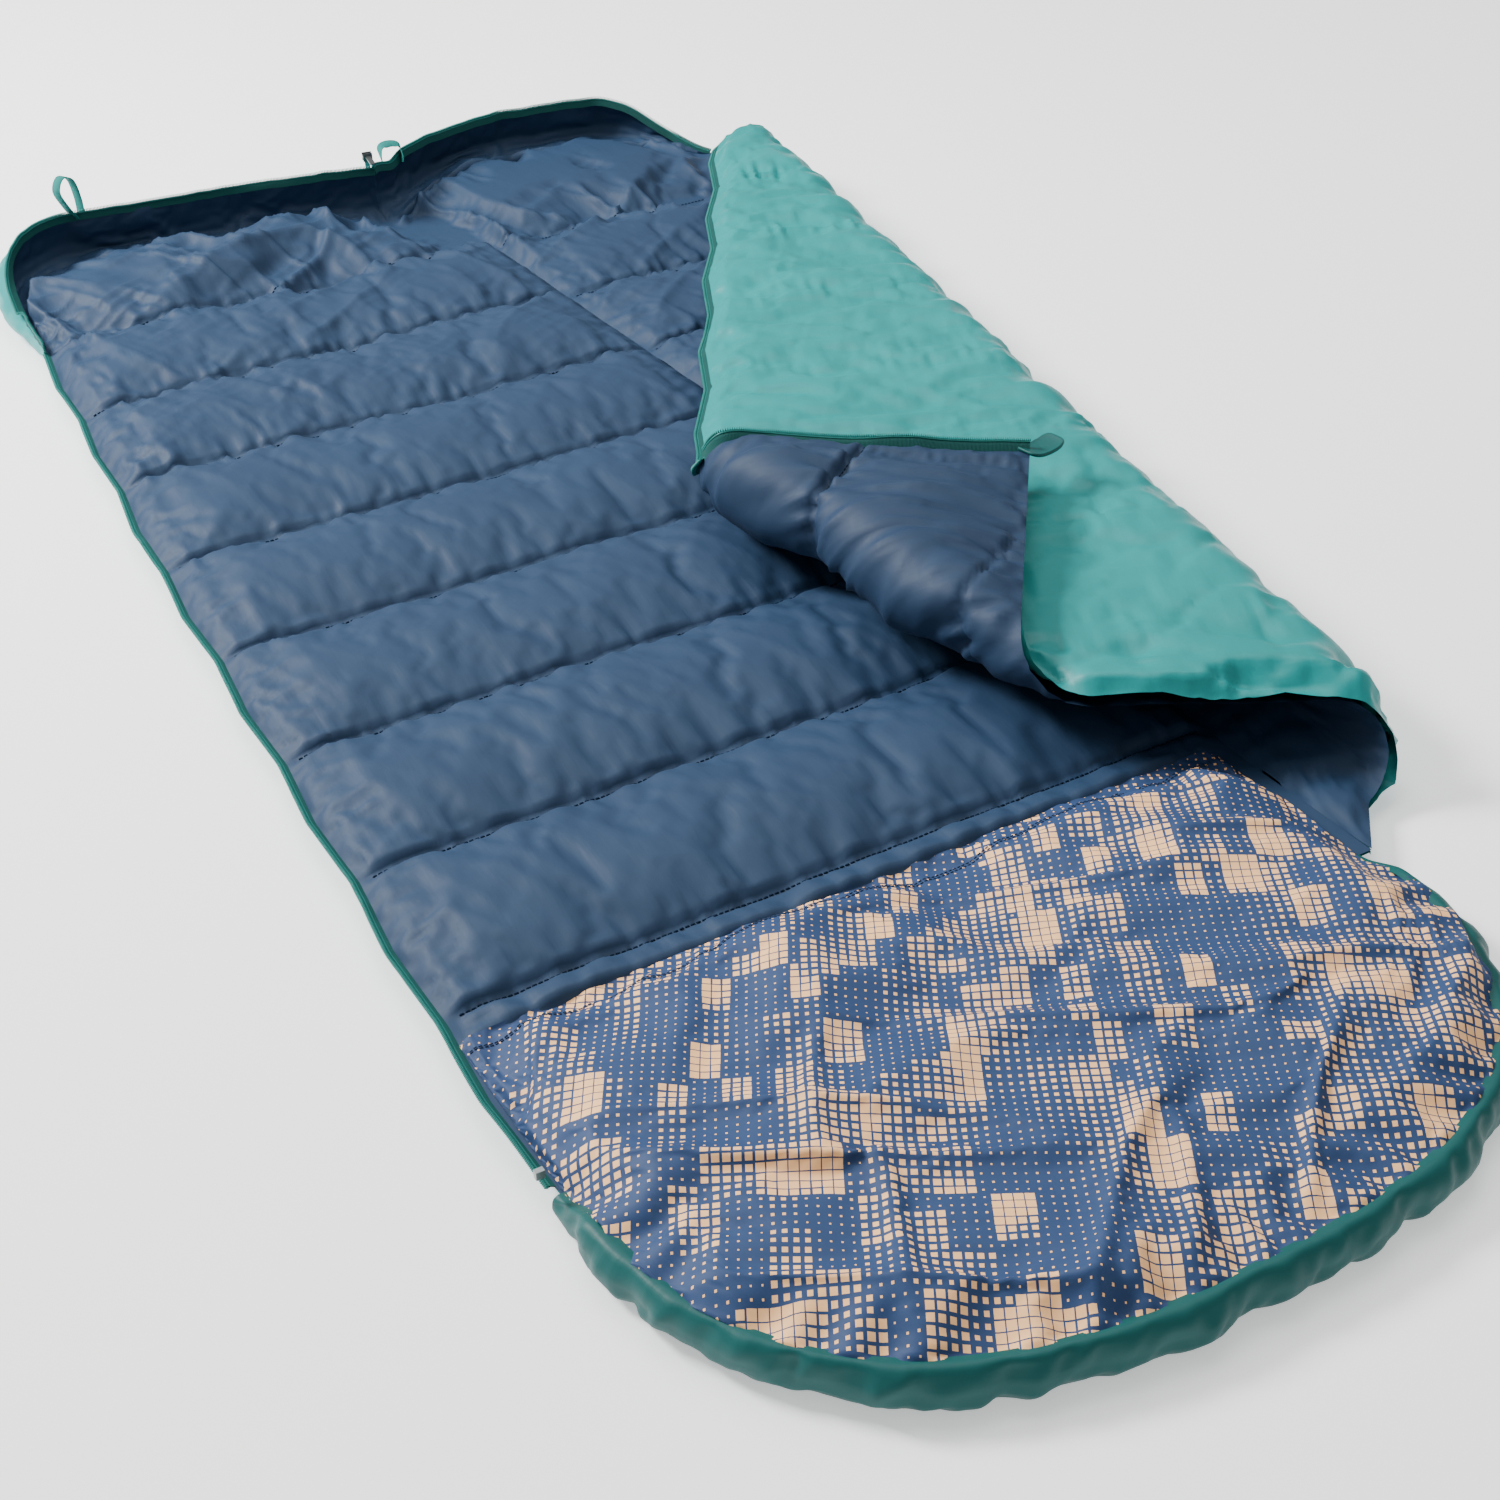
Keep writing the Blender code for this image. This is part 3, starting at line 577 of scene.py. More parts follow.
def halftone():
    """The pocket's print: squares of many sizes on a grid, in blocks that fade into each other."""
    blue, peach = (0.0240, 0.0540, 0.1400), (1.0, 0.570, 0.260)
    mat, tree, shader = look("pocket_print", blue, 0.62)
    calc = functools.partial(maths, tree)
    uv = weave(tree, shader, wrinkles=0.0005)
    cell = node(tree, "Mapping")
    cell.inputs["Scale"].default_value = (1 / PRINT_CELL, 1 / PRINT_CELL, 1)
    cell.inputs["Rotation"].default_value = (0, 0, math.radians(PRINT_TURN))
    link(tree, uv, cell.inputs[0])

    def vector(operation, a, b=None):
        made = node(tree, "VectorMath", operation=operation)
        link(tree, a, made.inputs[0])
        if isinstance(b, tuple):
            made.inputs[1].default_value = b
        elif b is not None:
            link(tree, b, made.inputs[1])
        return made.outputs[0]

    where = vector("FLOOR", cell.outputs[0])
    within = vector("ABSOLUTE", vector("SUBTRACT", vector("FRACTION", cell.outputs[0]), (0.5, 0.5, 0)))
    reach = calc("MAXIMUM", *parts_of(tree, within))

    def draw(a, b, seed):
        """A random number for each pair of whole numbers."""
        key = node(tree, "CombineXYZ", Z=seed)
        link(tree, a, key.inputs[0])
        link(tree, b, key.inputs[1])
        chance = node(tree, "TexWhiteNoise", noise_dimensions="3D")
        link(tree, key.outputs[0], chance.inputs["Vector"])
        return chance.outputs[0]

    # Solid blocks of a few cells, and fading bands between them
    size = None
    for shift, width, height, keep, seed in ((0.0, 4, 6, 0.885, 3.0), (11.0, 3, 5, 0.93, 8.0)):
        moved = vector("ADD", where, (shift, shift * 0.7, 0))
        column, row = parts_of(tree, moved)
        band = calc("FLOOR", calc("DIVIDE", row, height))
        offset = calc("MULTIPLY", calc("SINE", calc("MULTIPLY", band, 7.3)), 3.0)
        across = calc("FLOOR", calc("DIVIDE", calc("ADD", column, offset), width))
        solid = calc("GREATER_THAN", draw(across, band, seed), keep)
        tall = calc("DIVIDE", calc("ADD", row, calc("MULTIPLY", across, 5.0)), 17.0)
        streak = draw(across, calc("FLOOR", tall), seed + 20)
        fade = calc("ADD", 0.22, calc("MULTIPLY", calc("FRACT", tall), 0.56))
        fading = calc("MULTIPLY", calc("GREATER_THAN", streak, 0.62), fade)
        one = calc("MAXIMUM", calc("MULTIPLY", solid, 0.89), fading)
        size = one if size is None else calc("MAXIMUM", size, one)
    drift = clouds(tree, where, Scale=0.13, Detail=1.0)
    grain = node(tree, "TexWhiteNoise", noise_dimensions="3D")
    link(tree, where, grain.inputs["Vector"])
    loose = calc("MULTIPLY", calc("SUBTRACT", drift, 0.34), 1.9)
    size = calc("MULTIPLY", size, calc("MINIMUM", calc("ADD", loose, 0.60), 1.0))
    size = calc("MAXIMUM", size, calc("ADD", 0.16, calc("MULTIPLY", grain.outputs[0], 0.08)))
    ink = calc("LESS_THAN", reach, calc("MULTIPLY", size, 0.5))
    link(tree, blend_colour(tree, ink, blue, peach), shader.inputs["Base Color"])
    return mat


def ribbed(name, low, high, pitch=0.0011):
    """Woven tape: ribs along its length."""
    mat, tree, shader = look(name, low, 0.75)
    uv = node(tree, "UVMap", uv_map="UVMap").outputs[0]
    along = parts_of(tree, uv)[0]
    ribs = maths(tree, "SINE", maths(tree, "MULTIPLY", along, 2 * math.pi / pitch))
    bump = node(tree, "Bump", Strength=0.5, Distance=0.0003)
    link(tree, ribs, bump.inputs["Height"])
    link(tree, bump.outputs[0], shader.inputs["Normal"])
    tone = maths(tree, "ADD", maths(tree, "MULTIPLY", ribs, 0.3), 0.5)
    link(tree, blend_colour(tree, tone, low, high), shader.inputs["Base Color"])
    return mat


def plain(name, colour, rough, **more):
    """A small hard or sewn part, with a faint unevenness."""
    mat, tree, shader = look(name, colour, rough, **more)
    place = node(tree, "TexCoord").outputs["Object"]
    grain = clouds(tree, place, Scale=900.0, Detail=2.0)
    darker = tuple(c * 0.7 for c in colour)
    link(tree, blend_colour(tree, grain, darker, colour), shader.inputs["Base Color"])
    return mat


NAVY = satin("navy_satin", (0.0120, 0.0315, 0.0720), (0.0195, 0.0490, 0.1030), 0.60, 0.0011)
# A darker copy of the navy satin for the turned-back corner's lining: painted shade, as that lining faces
# away from the lamps
NAVY_PAINTED_SHADE = satin("navy_satin_painted_shade", (0.0090, 0.0250, 0.0600), (0.0145, 0.0390, 0.0860), 0.60, 0.0011)
TEAL = satin("teal_satin", (0.0055, 0.1950, 0.1900), (0.0110, 0.3050, 0.3000), 0.40, 0.0010)
# A darker copy of the teal satin, painted shade: used on the hood's side wall, which stands in shade under
# the pocket's edge, and on the corner tab
TEAL_PAINTED_SHADE = satin("teal_satin_painted_shade", (0.0020, 0.0620, 0.0600), (0.0040, 0.1000, 0.0960), 0.48, 0.0010)
PRINT = halftone()
TAPE = ribbed("teal_tape", (0.0030, 0.0560, 0.0500), (0.0060, 0.0960, 0.0860))
LOOP_TAPE = ribbed("loop_tape", (0.0060, 0.1500, 0.1350), (0.0110, 0.2300, 0.2080))
TEETH = plain("teal_teeth", (0.0150, 0.2100, 0.1850), 0.4)
THREAD = plain("navy_thread", (0.0070, 0.0180, 0.0420), 0.8, specular=0.05)
PRINT_THREAD = plain("pocket_thread", (0.0240, 0.0500, 0.1200), 0.6)
METAL = plain("dark_metal", (0.30, 0.32, 0.33), 0.32, metal=1.0, specular=0.5)


# Pieces made from paths


def blocks(name, centres, along, up, size, mat, taper=0.7):
    """Small rounded blocks at many places: stitches and zip teeth."""
    side = np.cross(up, along)
    verts, faces = [], []
    shape = [(-1, -1, 0), (-1, 1, 0), (1, 1, 0), (1, -1, 0), (-taper, -taper, 1), (-taper, taper, 1),
             (taper, taper, 1), (taper, -taper, 1)]
    for a, b, c in shape:
        verts.append(centres + along * (a * size[0] / 2) + side * (b * size[1] / 2) + up * (c * size[2]))
    verts = np.stack(verts, 1).reshape(-1, 3)
    one = np.array([(0, 1, 2, 3), (4, 7, 6, 5), (0, 4, 5, 1), (1, 5, 6, 2), (2, 6, 7, 3), (3, 7, 4, 0)])
    faces = (one[None] + 8 * np.arange(len(centres))[:, None, None]).reshape(-1, 4)
    return build(name, verts, faces, look=mat)


def spaced(path, step):
    path = np.asarray(path, float)
    length = np.linalg.norm(np.diff(path, axis=0), axis=1).sum()
    return resample(path, max(3, int(length / step)))


def tangents(path):
    step = np.gradient(path, axis=0)
    return step / np.linalg.norm(step, axis=1, keepdims=True)


def square_to(forward, across):
    """across turned at right angles to forward, one unit vector for each point."""
    across = np.broadcast_to(np.asarray(across, float), forward.shape)
    across = across - forward * (across * forward).sum(1, keepdims=True)
    return across / np.linalg.norm(across, axis=1, keepdims=True)


def averaged(path, rounds):
    path = path.copy()
    for _ in range(rounds):
        path[1:-1] = (path[:-2] + 2 * path[1:-1] + path[2:]) / 4
    return path


def zip_chain(name, edge, lean, wide=TAPE_OUT, wave=0.0, inner=0.004):
    """One half of a zip along a cloth edge: a woven tape sewn under the edge, and its teeth.
    lean gives the tape's direction at each point of the edge, out of the cloth."""
    path = averaged(spaced(edge, TOOTH_PITCH), 10)
    at = np.linspace(0, 1, len(path))
    old = np.linspace(0, 1, len(edge))
    forward = tangents(path)
    out = square_to(forward, np.stack([np.interp(at, old, lean[:, k]) for k in range(3)], 1))
    up = np.cross(forward, out)
    run = np.arange(len(path)) * TOOTH_PITCH
    sway = wave * noise(run, run * 0, 0.07, 5)[:, None] * up
    widths = (-inner, 0.0, wide * 0.5, wide)
    lift = (0.0, 0.0003, 0.0006, 0.0004)
    rows = [path + out * w + up * h + sway * max(w, 0) / wide for w, h in zip(widths, lift)]
    thick = [r - up * 0.0008 for r in reversed(rows)]
    ring = rows + thick + rows[:1]
    uv = [np.stack([run, np.full(len(run), k * 0.004)], 1) for k in range(len(ring))]
    tape = grid_object(f"{name}_tape_cloth", ring, uv, TAPE)
    centre = path + out * (wide + 0.0009) + sway - up * 0.0012
    teeth = blocks(f"{name}_teeth", centre, forward, up, (0.0008, 0.0030, 0.0026), TEETH)
    cord = tube(f"{name}_tooth_cord", path + out * (wide - 0.0010) + sway + up * 0.0002, 0.0009, TEETH)
    return tape, teeth, cord


def tube(name, path, radius, mat, sides=6):
    path = np.asarray(path, float)
    forward = tangents(path)
    a = np.cross(forward, [0, 0, 1.0])
    flat = np.linalg.norm(a, axis=1) < 1e-3
    a[flat] = [1, 0, 0]
    a /= np.linalg.norm(a, axis=1, keepdims=True)
    b = np.cross(a, forward)
    turn = np.linspace(0, 2 * math.pi, sides + 1)
    ring = [path + radius * (math.cos(t) * a + math.sin(t) * b) for t in turn]
    run = run_of(path)
    uv = [np.stack([run, np.full(len(run), t * radius)], 1) for t in turn]
    return grid_object(name, ring, uv, mat)


def stitches(name, path, up, mat, step=0.0044, size=(0.0031, 0.0009, 0.0006)):
    path = spaced(path, step)
    forward = tangents(path)
    flat_up = square_to(forward, up)
    return blocks(name, path[1:-1], forward[1:-1], flat_up[1:-1], size, mat)


def joined(objects, name):
    """One object from several of the same material."""
    verts, faces, base = [], [], 0
    mat = objects[0].data.materials[0]
    for obj in objects:
        mesh = obj.data
        places = np.zeros(len(mesh.vertices) * 3, np.float32)
        mesh.vertices.foreach_get("co", places)
        verts.append(places.reshape(-1, 3))
        faces += [[base + v for v in poly.vertices] for poly in mesh.polygons]
        base += len(mesh.vertices)
        bpy.data.objects.remove(obj)
        bpy.data.meshes.remove(mesh)
    verts = np.concatenate(verts).tolist()
    made = bpy.data.meshes.new(name)
    made.from_pydata(verts, [], faces)
    made.polygons.foreach_set("use_smooth", np.ones(len(faces), bool))
    made.materials.append(mat)
    obj = bpy.data.objects.new(name, made)
    bpy.context.scene.collection.objects.link(obj)
    return obj


def part_of(name, points, uv, keep, mat, flip=False):
    """The part of a grid whose faces are kept."""
    rows, cols = points.shape[:2]
    faces = grid_faces(rows, cols, flip)
    faces = faces[keep.ravel()]
    used, inverse = np.unique(faces, return_inverse=True)
    return build(name, points.reshape(-1, 3)[used], inverse.reshape(-1, 4), uv.reshape(-1, 2)[used], mat)


def give(obj, body, slot, *nodes):
    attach(obj, body)
    if nodes:
        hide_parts(*nodes)
    return obj


# The base


LINING_WALL = [(0, SEAM), (0.014, SEAM + 0.002), (0.026, 0.032), (0.031, 0.046), (0.030, 0.062),
               (0.0258, 0.075)]
LOW_TOP = 0.0410  # the flat lining never stands higher than this
LOWEST = 0.0165  # nor lower than this, where it would meet the shell
SHELL_WALL = [(0, 0.0012), (0.030, 0.0014), (0.047, 0.012), (0.053, 0.030), (0.047, 0.056), (0.0272, 0.0752)]

flat, marks = base_domain()
t = np.linspace(0, 1, flat.shape[1])
share = 0.10 + 0.90 * smooth(t / 0.36)
quilt_rows = marks[1:-1]
points, uv, flats = quilt_layer(flat, quilt_rows, (LINING_WALL, share, -1), 1, 11)
fine, fine_uv = finer(points, uv)
left, right = rim(fine_uv)
strip = smooth((0.055 - left) / 0.02) * smooth(left / 0.004)
level_rows, bunched = bunching(fine_uv, flats, np.minimum(left, right), 6.5)
base_lining = crumple(fine, fine_uv, 21, 1, strip, bunched=bunched)
base_lining[..., 2] = np.where(level_rows, np.maximum(base_lining[..., 2], LOWEST), base_lining[..., 2])
under = smooth((POCKET_MOUTH * P + 0.004 - fine_uv[..., 1]) / 0.012)
base_lining[..., 2] += (LOWEST - base_lining[..., 2]) * under
lining = grid_object("base_lining_cloth", base_lining, fine_uv, NAVY)
give(lining, "quilt_base", "lining", "base_lining", "base_fill")

points, uv, flats = quilt_layer(flat, quilt_rows, (SHELL_WALL, share, -1), -1, 12)
shell = grid_object("base_shell_cloth", points, uv, TEAL, True)
give(shell, "quilt_base", "shell", "base_shell")

rows_of_thread = []
for number, mark in enumerate(quilt_rows):
    row = base_lining[2 * mark, 2:-2] + [0, 0, 0.0004]
    rows_of_thread.append(stitches(f"row_{number}", row, (0, 0, 1), THREAD, size=(0.0034, 0.0014, 0.0008)))
thread = joined(rows_of_thread, "base_quilting")
give(thread, "quilt_base", "thread", *[f"base_stitch_{n}" for n in range(8)])


# The cover: inner part and main fold, then folded-back part and corner fold


def fold_side(g):
    d = unit(FOLD_FOOT - FOLD_NECK)
    return (g[..., :2] - FOLD_NECK * P) @ np.array([d[1], -d[0]])


flat, marks = cover_domain()
share = smooth(-fold_side(flat[-1]) / (0.8 * P))
share *= 1 - LOOP_DIP * np.exp(-(((flat[-1, :, 0] - LOOP_SPOT[0] * P) / 0.015) ** 2))
quilt_rows = marks[1:-1]
S_CUT = math.pi * ROLL + 0.045


def quads_of(a):
    return (a[:-1, :-1] + a[1:, :-1] + a[:-1, 1:] + a[1:, 1:]) / 4


def cover_pieces(prefix, g, uv, flats, mat, turned_mat, flip, slot, nodes):
    """The three parts of one face of the cover: its foot's wall, the main fold's part and the corner's."""
    folded = fold_map(g)
    wall_row = np.repeat(np.arange(g.shape[0] - 1)[:, None], g.shape[1] - 1, 1) >= flats - 1
    side = quads_of(fold_side(g))
    wall_row &= side < 0.0
    far = (side > S_CUT) & ~wall_row
    foot = part_of(f"{prefix}_foot_cloth", folded, uv, wall_row, mat, flip)
    give(foot, "quilt_base", slot)
    main = part_of(f"{prefix}_main_cloth", folded, uv, ~wall_row & ~far, mat, flip)
    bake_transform(main)
    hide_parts(*nodes[0])
    # For the lining, turned_mat is the darker navy copy: painted shade on the turned corner
    turned = part_of(f"{prefix}_turned_cloth", folded, uv, far, turned_mat, flip)
    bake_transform(turned)
    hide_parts(*nodes[1])
    return folded, main, turned


points, uv, flats = quilt_layer(flat, quilt_rows, (LINING_WALL, share, 0), 1, 13)
fine, fine_uv = finer(points, uv)
left, right = rim(fine_uv)
level_rows, bunched = bunching(fine_uv, flats, left, 6.3)
bunched = bunched * smooth(-fold_side(fine) / 0.05)
strip = smooth((0.05 - right) / 0.02) * smooth(right / 0.004)
turned_back = smooth((fold_side(fine) - 0.30) / 0.08)
cover_flat = crumple(fine, fine_uv, 23, 1, strip, 1 + 2.6 * turned_back, bunched)
# The part that stays on the ground keeps below the heights at which the cloth turns with the fold
cover_flat[..., 2] -= 0.010 * bunched
h = cover_flat[..., 2]
soft_top = LOW_TOP - 0.004 * np.logaddexp(0, (LOW_TOP - h) / 0.004 - 1.5)
cover_flat[..., 2] = np.where(level_rows & (h > LOW_TOP - 0.012), np.minimum(h, soft_top), h)
cover_flat[..., 2] = np.where(level_rows, np.maximum(cover_flat[..., 2], LOWEST), cover_flat[..., 2])
# The turned corner's lining takes the darker navy copy, painted shade on the part turned from the lamps
cover_lining, main, turned = cover_pieces(
    "cover_lining", cover_flat, fine_uv, 2 * flats - 1, NAVY, NAVY_PAINTED_SHADE, False,
    "lining",
    (("cover_inner_lining", "cover_inner_fill"),
     ("cover_outer_lining", "cover_outer_fill", "cover_corner_lining", "cover_corner_fill", "corner_fold")))

points, uv, flats = quilt_layer(flat, quilt_rows, (SHELL_WALL, share, 0), -1, 14)
fine, fine_uv = finer(points, uv)
neck = np.linalg.norm(fine_uv - fine_uv[:1], axis=-1)
gather = 1 + 2.2 * smooth((0.10 - neck) / 0.10)
shell_flat = crumple(fine, fine_uv, 25, -1, 0.0, gather)
x = fine_uv[..., 0]
hem_fold = ridged(0.3 * x, neck, 0.034, 71) + 0.8 * ridged(x * 0.6, neck, 0.05, 72)
shell_flat[..., 2] -= 0.011 * (hem_fold - 0.6) * smooth((0.12 - neck) / 0.06) * smooth(neck / 0.012)
lowest = 0.0004 - 0.0044 * smooth(fold_side(shell_flat) / 0.05)
shell_flat[..., 2] = lowest + np.logaddexp(0, (shell_flat[..., 2] - lowest - 0.0015) / 0.0015) * 0.0015
cover_pieces(
    "cover_shell", shell_flat, fine_uv, 2 * flats - 1, TEAL, TEAL, True,
    "shell",
    (("cover_inner_shell", "main_fold"), ("cover_outer_shell", "cover_corner_shell")))

groups = {"quilt_base": [], "folded_cover": [], "free_corner": []}
for number, mark in enumerate(quilt_rows):
    row = cover_flat[2 * mark, 2:-2] + [0, 0, 0.0004]
    place = fold_map(row)
    side = fold_side(row)
    top = place[:, 2] > AXIS_2
    for body, mask, up in (
        ("quilt_base", side < 0, 1),
        ("folded_cover", (side > math.pi * ROLL) & ~top & (place[:, 2] < 0.09), -1),
        ("free_corner", top & (place[:, 2] > 0.115), 1),
    ):
        if mask.sum() > 4:
            groups[body].append(stitches(f"{body}_{number}", place[mask], (0, 0, up), THREAD))
for body, name, nodes in (
    ("quilt_base", "cover_quilting", [f"cover_stitch_{n}" for n in range(1, 8)]),
    ("folded_cover", "folded_quilting", []),
    ("free_corner", "corner_quilting", ["corner_stitch"]),
):
    give(joined(groups[body], name), body, "thread", *nodes)


# The hood and its printed pocket


HOOD_HALF, HOOD_SHIFT = 1.845, -0.015
POCKET_SHARE = 0.985  # the pocket's width over the hood's
AROUND = 420  # points along the hood's rim


def hood_edge(x):
    inside = np.clip(1 - np.abs((x - HOOD_SHIFT) / HOOD_HALF) ** HOOD_POWER, 0, 1)
    return SIDE_END - HOOD_DEPTH * inside ** (1 / HOOD_POWER)


def pocket_domain(cols=120, rows=90):
    u = np.sin(np.linspace(-math.pi / 2, math.pi / 2, cols))
    x = HOOD_SHIFT + u * HOOD_HALF * POCKET_SHARE
    low = hood_edge(x) + 0.03
    v = np.linspace(0, 1, rows)[:, None]
    y = POCKET_MOUTH + (low - POCKET_MOUTH) * v
    return np.stack([np.broadcast_to(x, y.shape), y], -1)[:, ::-1] * P


flat = pocket_domain()
x, y = flat[..., 0], flat[..., 1]
edge = np.minimum(np.linalg.norm(flat - flat[-1:], axis=-1),
                  HOOD_HALF * P * POCKET_SHARE - np.abs(x - HOOD_SHIFT * P))
mouth = POCKET_MOUTH * P - y
full = smooth(edge / 0.05)
# The sides are sewn into the zip's seam, and the rim rises with the hood
on_base = smooth((y - (SIDE_END - 0.30) * P) / (0.30 * P))
height = 0.0325 - 0.0110 * on_base + (0.010 + 0.008 * on_base) * full
height -= 0.0170 * smooth((0.040 - mouth) / 0.040) * full
height -= 0.0045 * (1 - smooth(edge / 0.008)) * on_base
broad = noise(0.8 * x + 0.45 * y, 0.55 * y - 0.2 * x, 0.075, 41) + 0.6 * noise(x, y + 0.4 * x, 0.042, 42)
folds = ridged(0.6 * x + y, 0.22 * x, 0.055, 43) + ridged(0.9 * x - 0.7 * y, 0.25 * y, 0.065, 44)
deeper = 0.4 + 0.6 * smooth(mouth / 0.16)
height += (0.0042 * broad + 0.0052 * folds * deeper) * smooth(edge / 0.03) * smooth(mouth / 0.02)
gathers = np.sin(np.arctan2(y + 0.18, x) * 46 + 3 * noise(x, y, 0.05, 45))
height += 0.0022 * gathers * smooth((0.05 - edge) / 0.03) * smooth(edge / 0.004) * (1 - on_base)
points = np.concatenate([flat, height[..., None]], -1)
points = simulate(points, edge_pins(flat.shape[:2]), True, 0.020, 0.6, frames=12, bending=0.5)
fine, fine_uv = finer(points, flat)
pocket = grid_object("pocket_cloth", fine, fine_uv, PRINT, True)
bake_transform(pocket)
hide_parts("pocket_mouth", "pocket_panel")
hem_rows = []
for depth in (0.0185, 0.0215):
    row = int(np.argmin(np.abs((fine[:, 120, 1] - (POCKET_MOUTH * P - depth)))))
    line = fine[row, 6:-6] + [0, 0, 0.0003]
    hem_rows.append(stitches(f"hem_{depth}", line, (0, 0, 1), PRINT_THREAD, 0.0036, (0.0026, 0.0007, 0.0005)))
give(joined(hem_rows, "pocket_hem_stitching"), "quilt_base", "thread", "pocket_hem_stitch")

# The hood's shell: a gathered side wall from the pocket's edge down and under
a = np.linspace(0, math.pi, AROUND)
power = 2 / HOOD_POWER
outline = np.stack([
    HOOD_SHIFT - np.sign(np.cos(a)) * np.abs(np.cos(a)) ** power * HOOD_HALF,
    SIDE_END - HOOD_DEPTH * np.abs(np.sin(a)) ** power,
], 1) * P
outline = resample(outline, AROUND)
out = -outwards(outline)
run = np.linspace(0, 1, AROUND) * np.linalg.norm(np.diff(outline, axis=0), axis=1).sum()
pleats = noise(run, 0 * run, 0.016, 51) * 0.8 + noise(run, 0 * run, 0.055, 52)
ends = smooth(np.minimum(run, run[-1] - run) / 0.08)
rise = 0.52 + 0.48 * smooth(np.minimum(run, run[-1] - run) / 0.05)
profile = [(-0.008, 0.0320), (0.000, 0.034), (0.004, 0.031), (0.009, 0.022), (0.009, 0.011), (0.003, 0.003),
           (-0.010, 0.0012), (-0.030, 0.0010)]
rings = []
for k, (ahead, up) in enumerate(resample(profile, 22)):
    bulge = smooth(k / 6) * smooth((21 - k) / 6)
    small = noise(run + 0.0015 * k, run * 0 + k * 0.003, 0.010, 53)
    move = 0.0040 * pleats * bulge * ends + 0.0022 * small * bulge
    spread_out = 0.25 + 0.75 * ends if ahead > 0 else 1.0
    spot = outline + out * (ahead * spread_out + move)[:, None]
    rings.append(np.concatenate([spot, (up * rise)[:, None]], 1))
inner_line = SIDE_END * P - 0.002
last = rings[-1]
for s in np.linspace(0, 1, 30)[1:]:
    inner = last.copy()
    target = np.stack([last[:, 0], np.full(AROUND, inner_line)], 1)
    inner[:, :2] = last[:, :2] + (target - last[:, :2]) * s
    inner[:, 2] = 0.001 + 0.0006 * np.sin(s * 20)
    rings.append(inner)
rings = np.array(rings)
down = np.arange(len(rings))[:, None] * 0.003
uv = np.stack([np.broadcast_to(run, rings.shape[:2]), np.broadcast_to(down, rings.shape[:2])], -1)
# The hood's wall takes the darker teal copy: painted shade
hood_shell = grid_object("hood_shell_cloth", rings, uv, TEAL_PAINTED_SHADE, True)
give(hood_shell, "hood", "shell", "hood_shell", "hood_lining", "hood_fill")


# Zips


def add_zip(name, teeth_name, edge, lean, body, **more):
    """One half of a zip on a body, in place of its two nodes."""
    tape, teeth, cord = zip_chain(name, edge, lean, **more)
    give(tape, body, "tape", f"{name}_tape")
    give(joined([teeth, cord], teeth_name), body, "coil", f"{name}_coil")


def flat_lean(edge, up):
    """Out of the cloth at its edge: sideways to the left of the path, tilted up."""
    out = outwards(averaged(edge, 6)[:, :2])
    return np.concatenate([out, np.full((len(out), 1), up)], 1)


edge = np.concatenate([base_lining[2:, 0], base_lining[-1, 1:]])
lean = flat_lean(edge, 0.55)
rise = smooth((edge[:, 2] - 0.025) / 0.03)
lean[:, 2] = 0.55 + 2.2 * rise
add_zip("base_zip", "base_zip_teeth_row", edge, lean, "quilt_base", wave=0.0012)

foot_row = cover_lining[-1]
stop = int(np.argmax(fold_side(cover_flat[-1]) > -0.01))
edge = foot_row[: stop + 1]
add_zip("cover_foot_zip", "cover_foot_teeth_row", edge, flat_lean(edge, 2.6), "quilt_base")

flats_fine = 2 * flats - 1
edge_flat = np.concatenate([cover_flat[-1, stop:], cover_flat[flats_fine - 1 :: -1, -1]])
edge = fold_map(edge_flat)
top = edge[:, 2] > 0.1
turn_at = int(np.argmax(top))
outer_edge, corner_edge = edge[: turn_at + 1], edge[turn_at:]
add_zip("cover_outer_zip", "cover_outer_teeth_row", outer_edge, -flat_lean(outer_edge, 0.2), "folded_cover")
add_zip("cover_corner_zip", "cover_corner_teeth_row", corner_edge, flat_lean(corner_edge, 1.5), "free_corner",
        wide=0.0095)


# Tab, loops and slider


def strap(name, path, across, width, thick, mat):
    """A flat band along a path, across giving the direction of its width."""
    path = np.asarray(path, float)
    forward = tangents(path)
    across = square_to(forward, across)
    up = np.cross(across, forward)
    run = run_of(path)
    section = [(-1, 0), (-0.92, 1), (0, 1), (0.92, 1), (1, 0), (0.92, -1), (0, -1), (-0.92, -1), (-1, 0)]
    ring = [path + across * (a * width / 2) + up * (b * thick / 2) for a, b in section]
    uv = [np.stack([run, np.full(len(run), 0.5 * width * a)], 1) for a, b in section]
    return grid_object(name, ring, uv, mat)


def curve_through(points, count=48):
    """A smooth curve through a few points."""
    points = np.asarray(points, float)
    before = 2 * points[:1] - points[1:2]
    after = 2 * points[-1:] - points[-2:-1]
    p = np.concatenate([before, points, after])
    out = []
    for i in range(1, len(p) - 2):
        for t in np.linspace(0, 1, 12, endpoint=False):
            a, b, c, d = p[i - 1 : i + 3]
            bent = (2 * a - 5 * b + 4 * c - d) * t**2 + (3 * b - a - 3 * c + d) * t**3
            out.append(0.5 * (2 * b + (c - a) * t + bent))
    out.append(p[-2])
    return resample(out, count)


def nearest_top(row, spot):
    """The place on a wall's top nearest a plan point in pitches."""
    return row[np.argmin(np.linalg.norm(row[:, :2] - np.asarray(spot) * P, axis=1))]


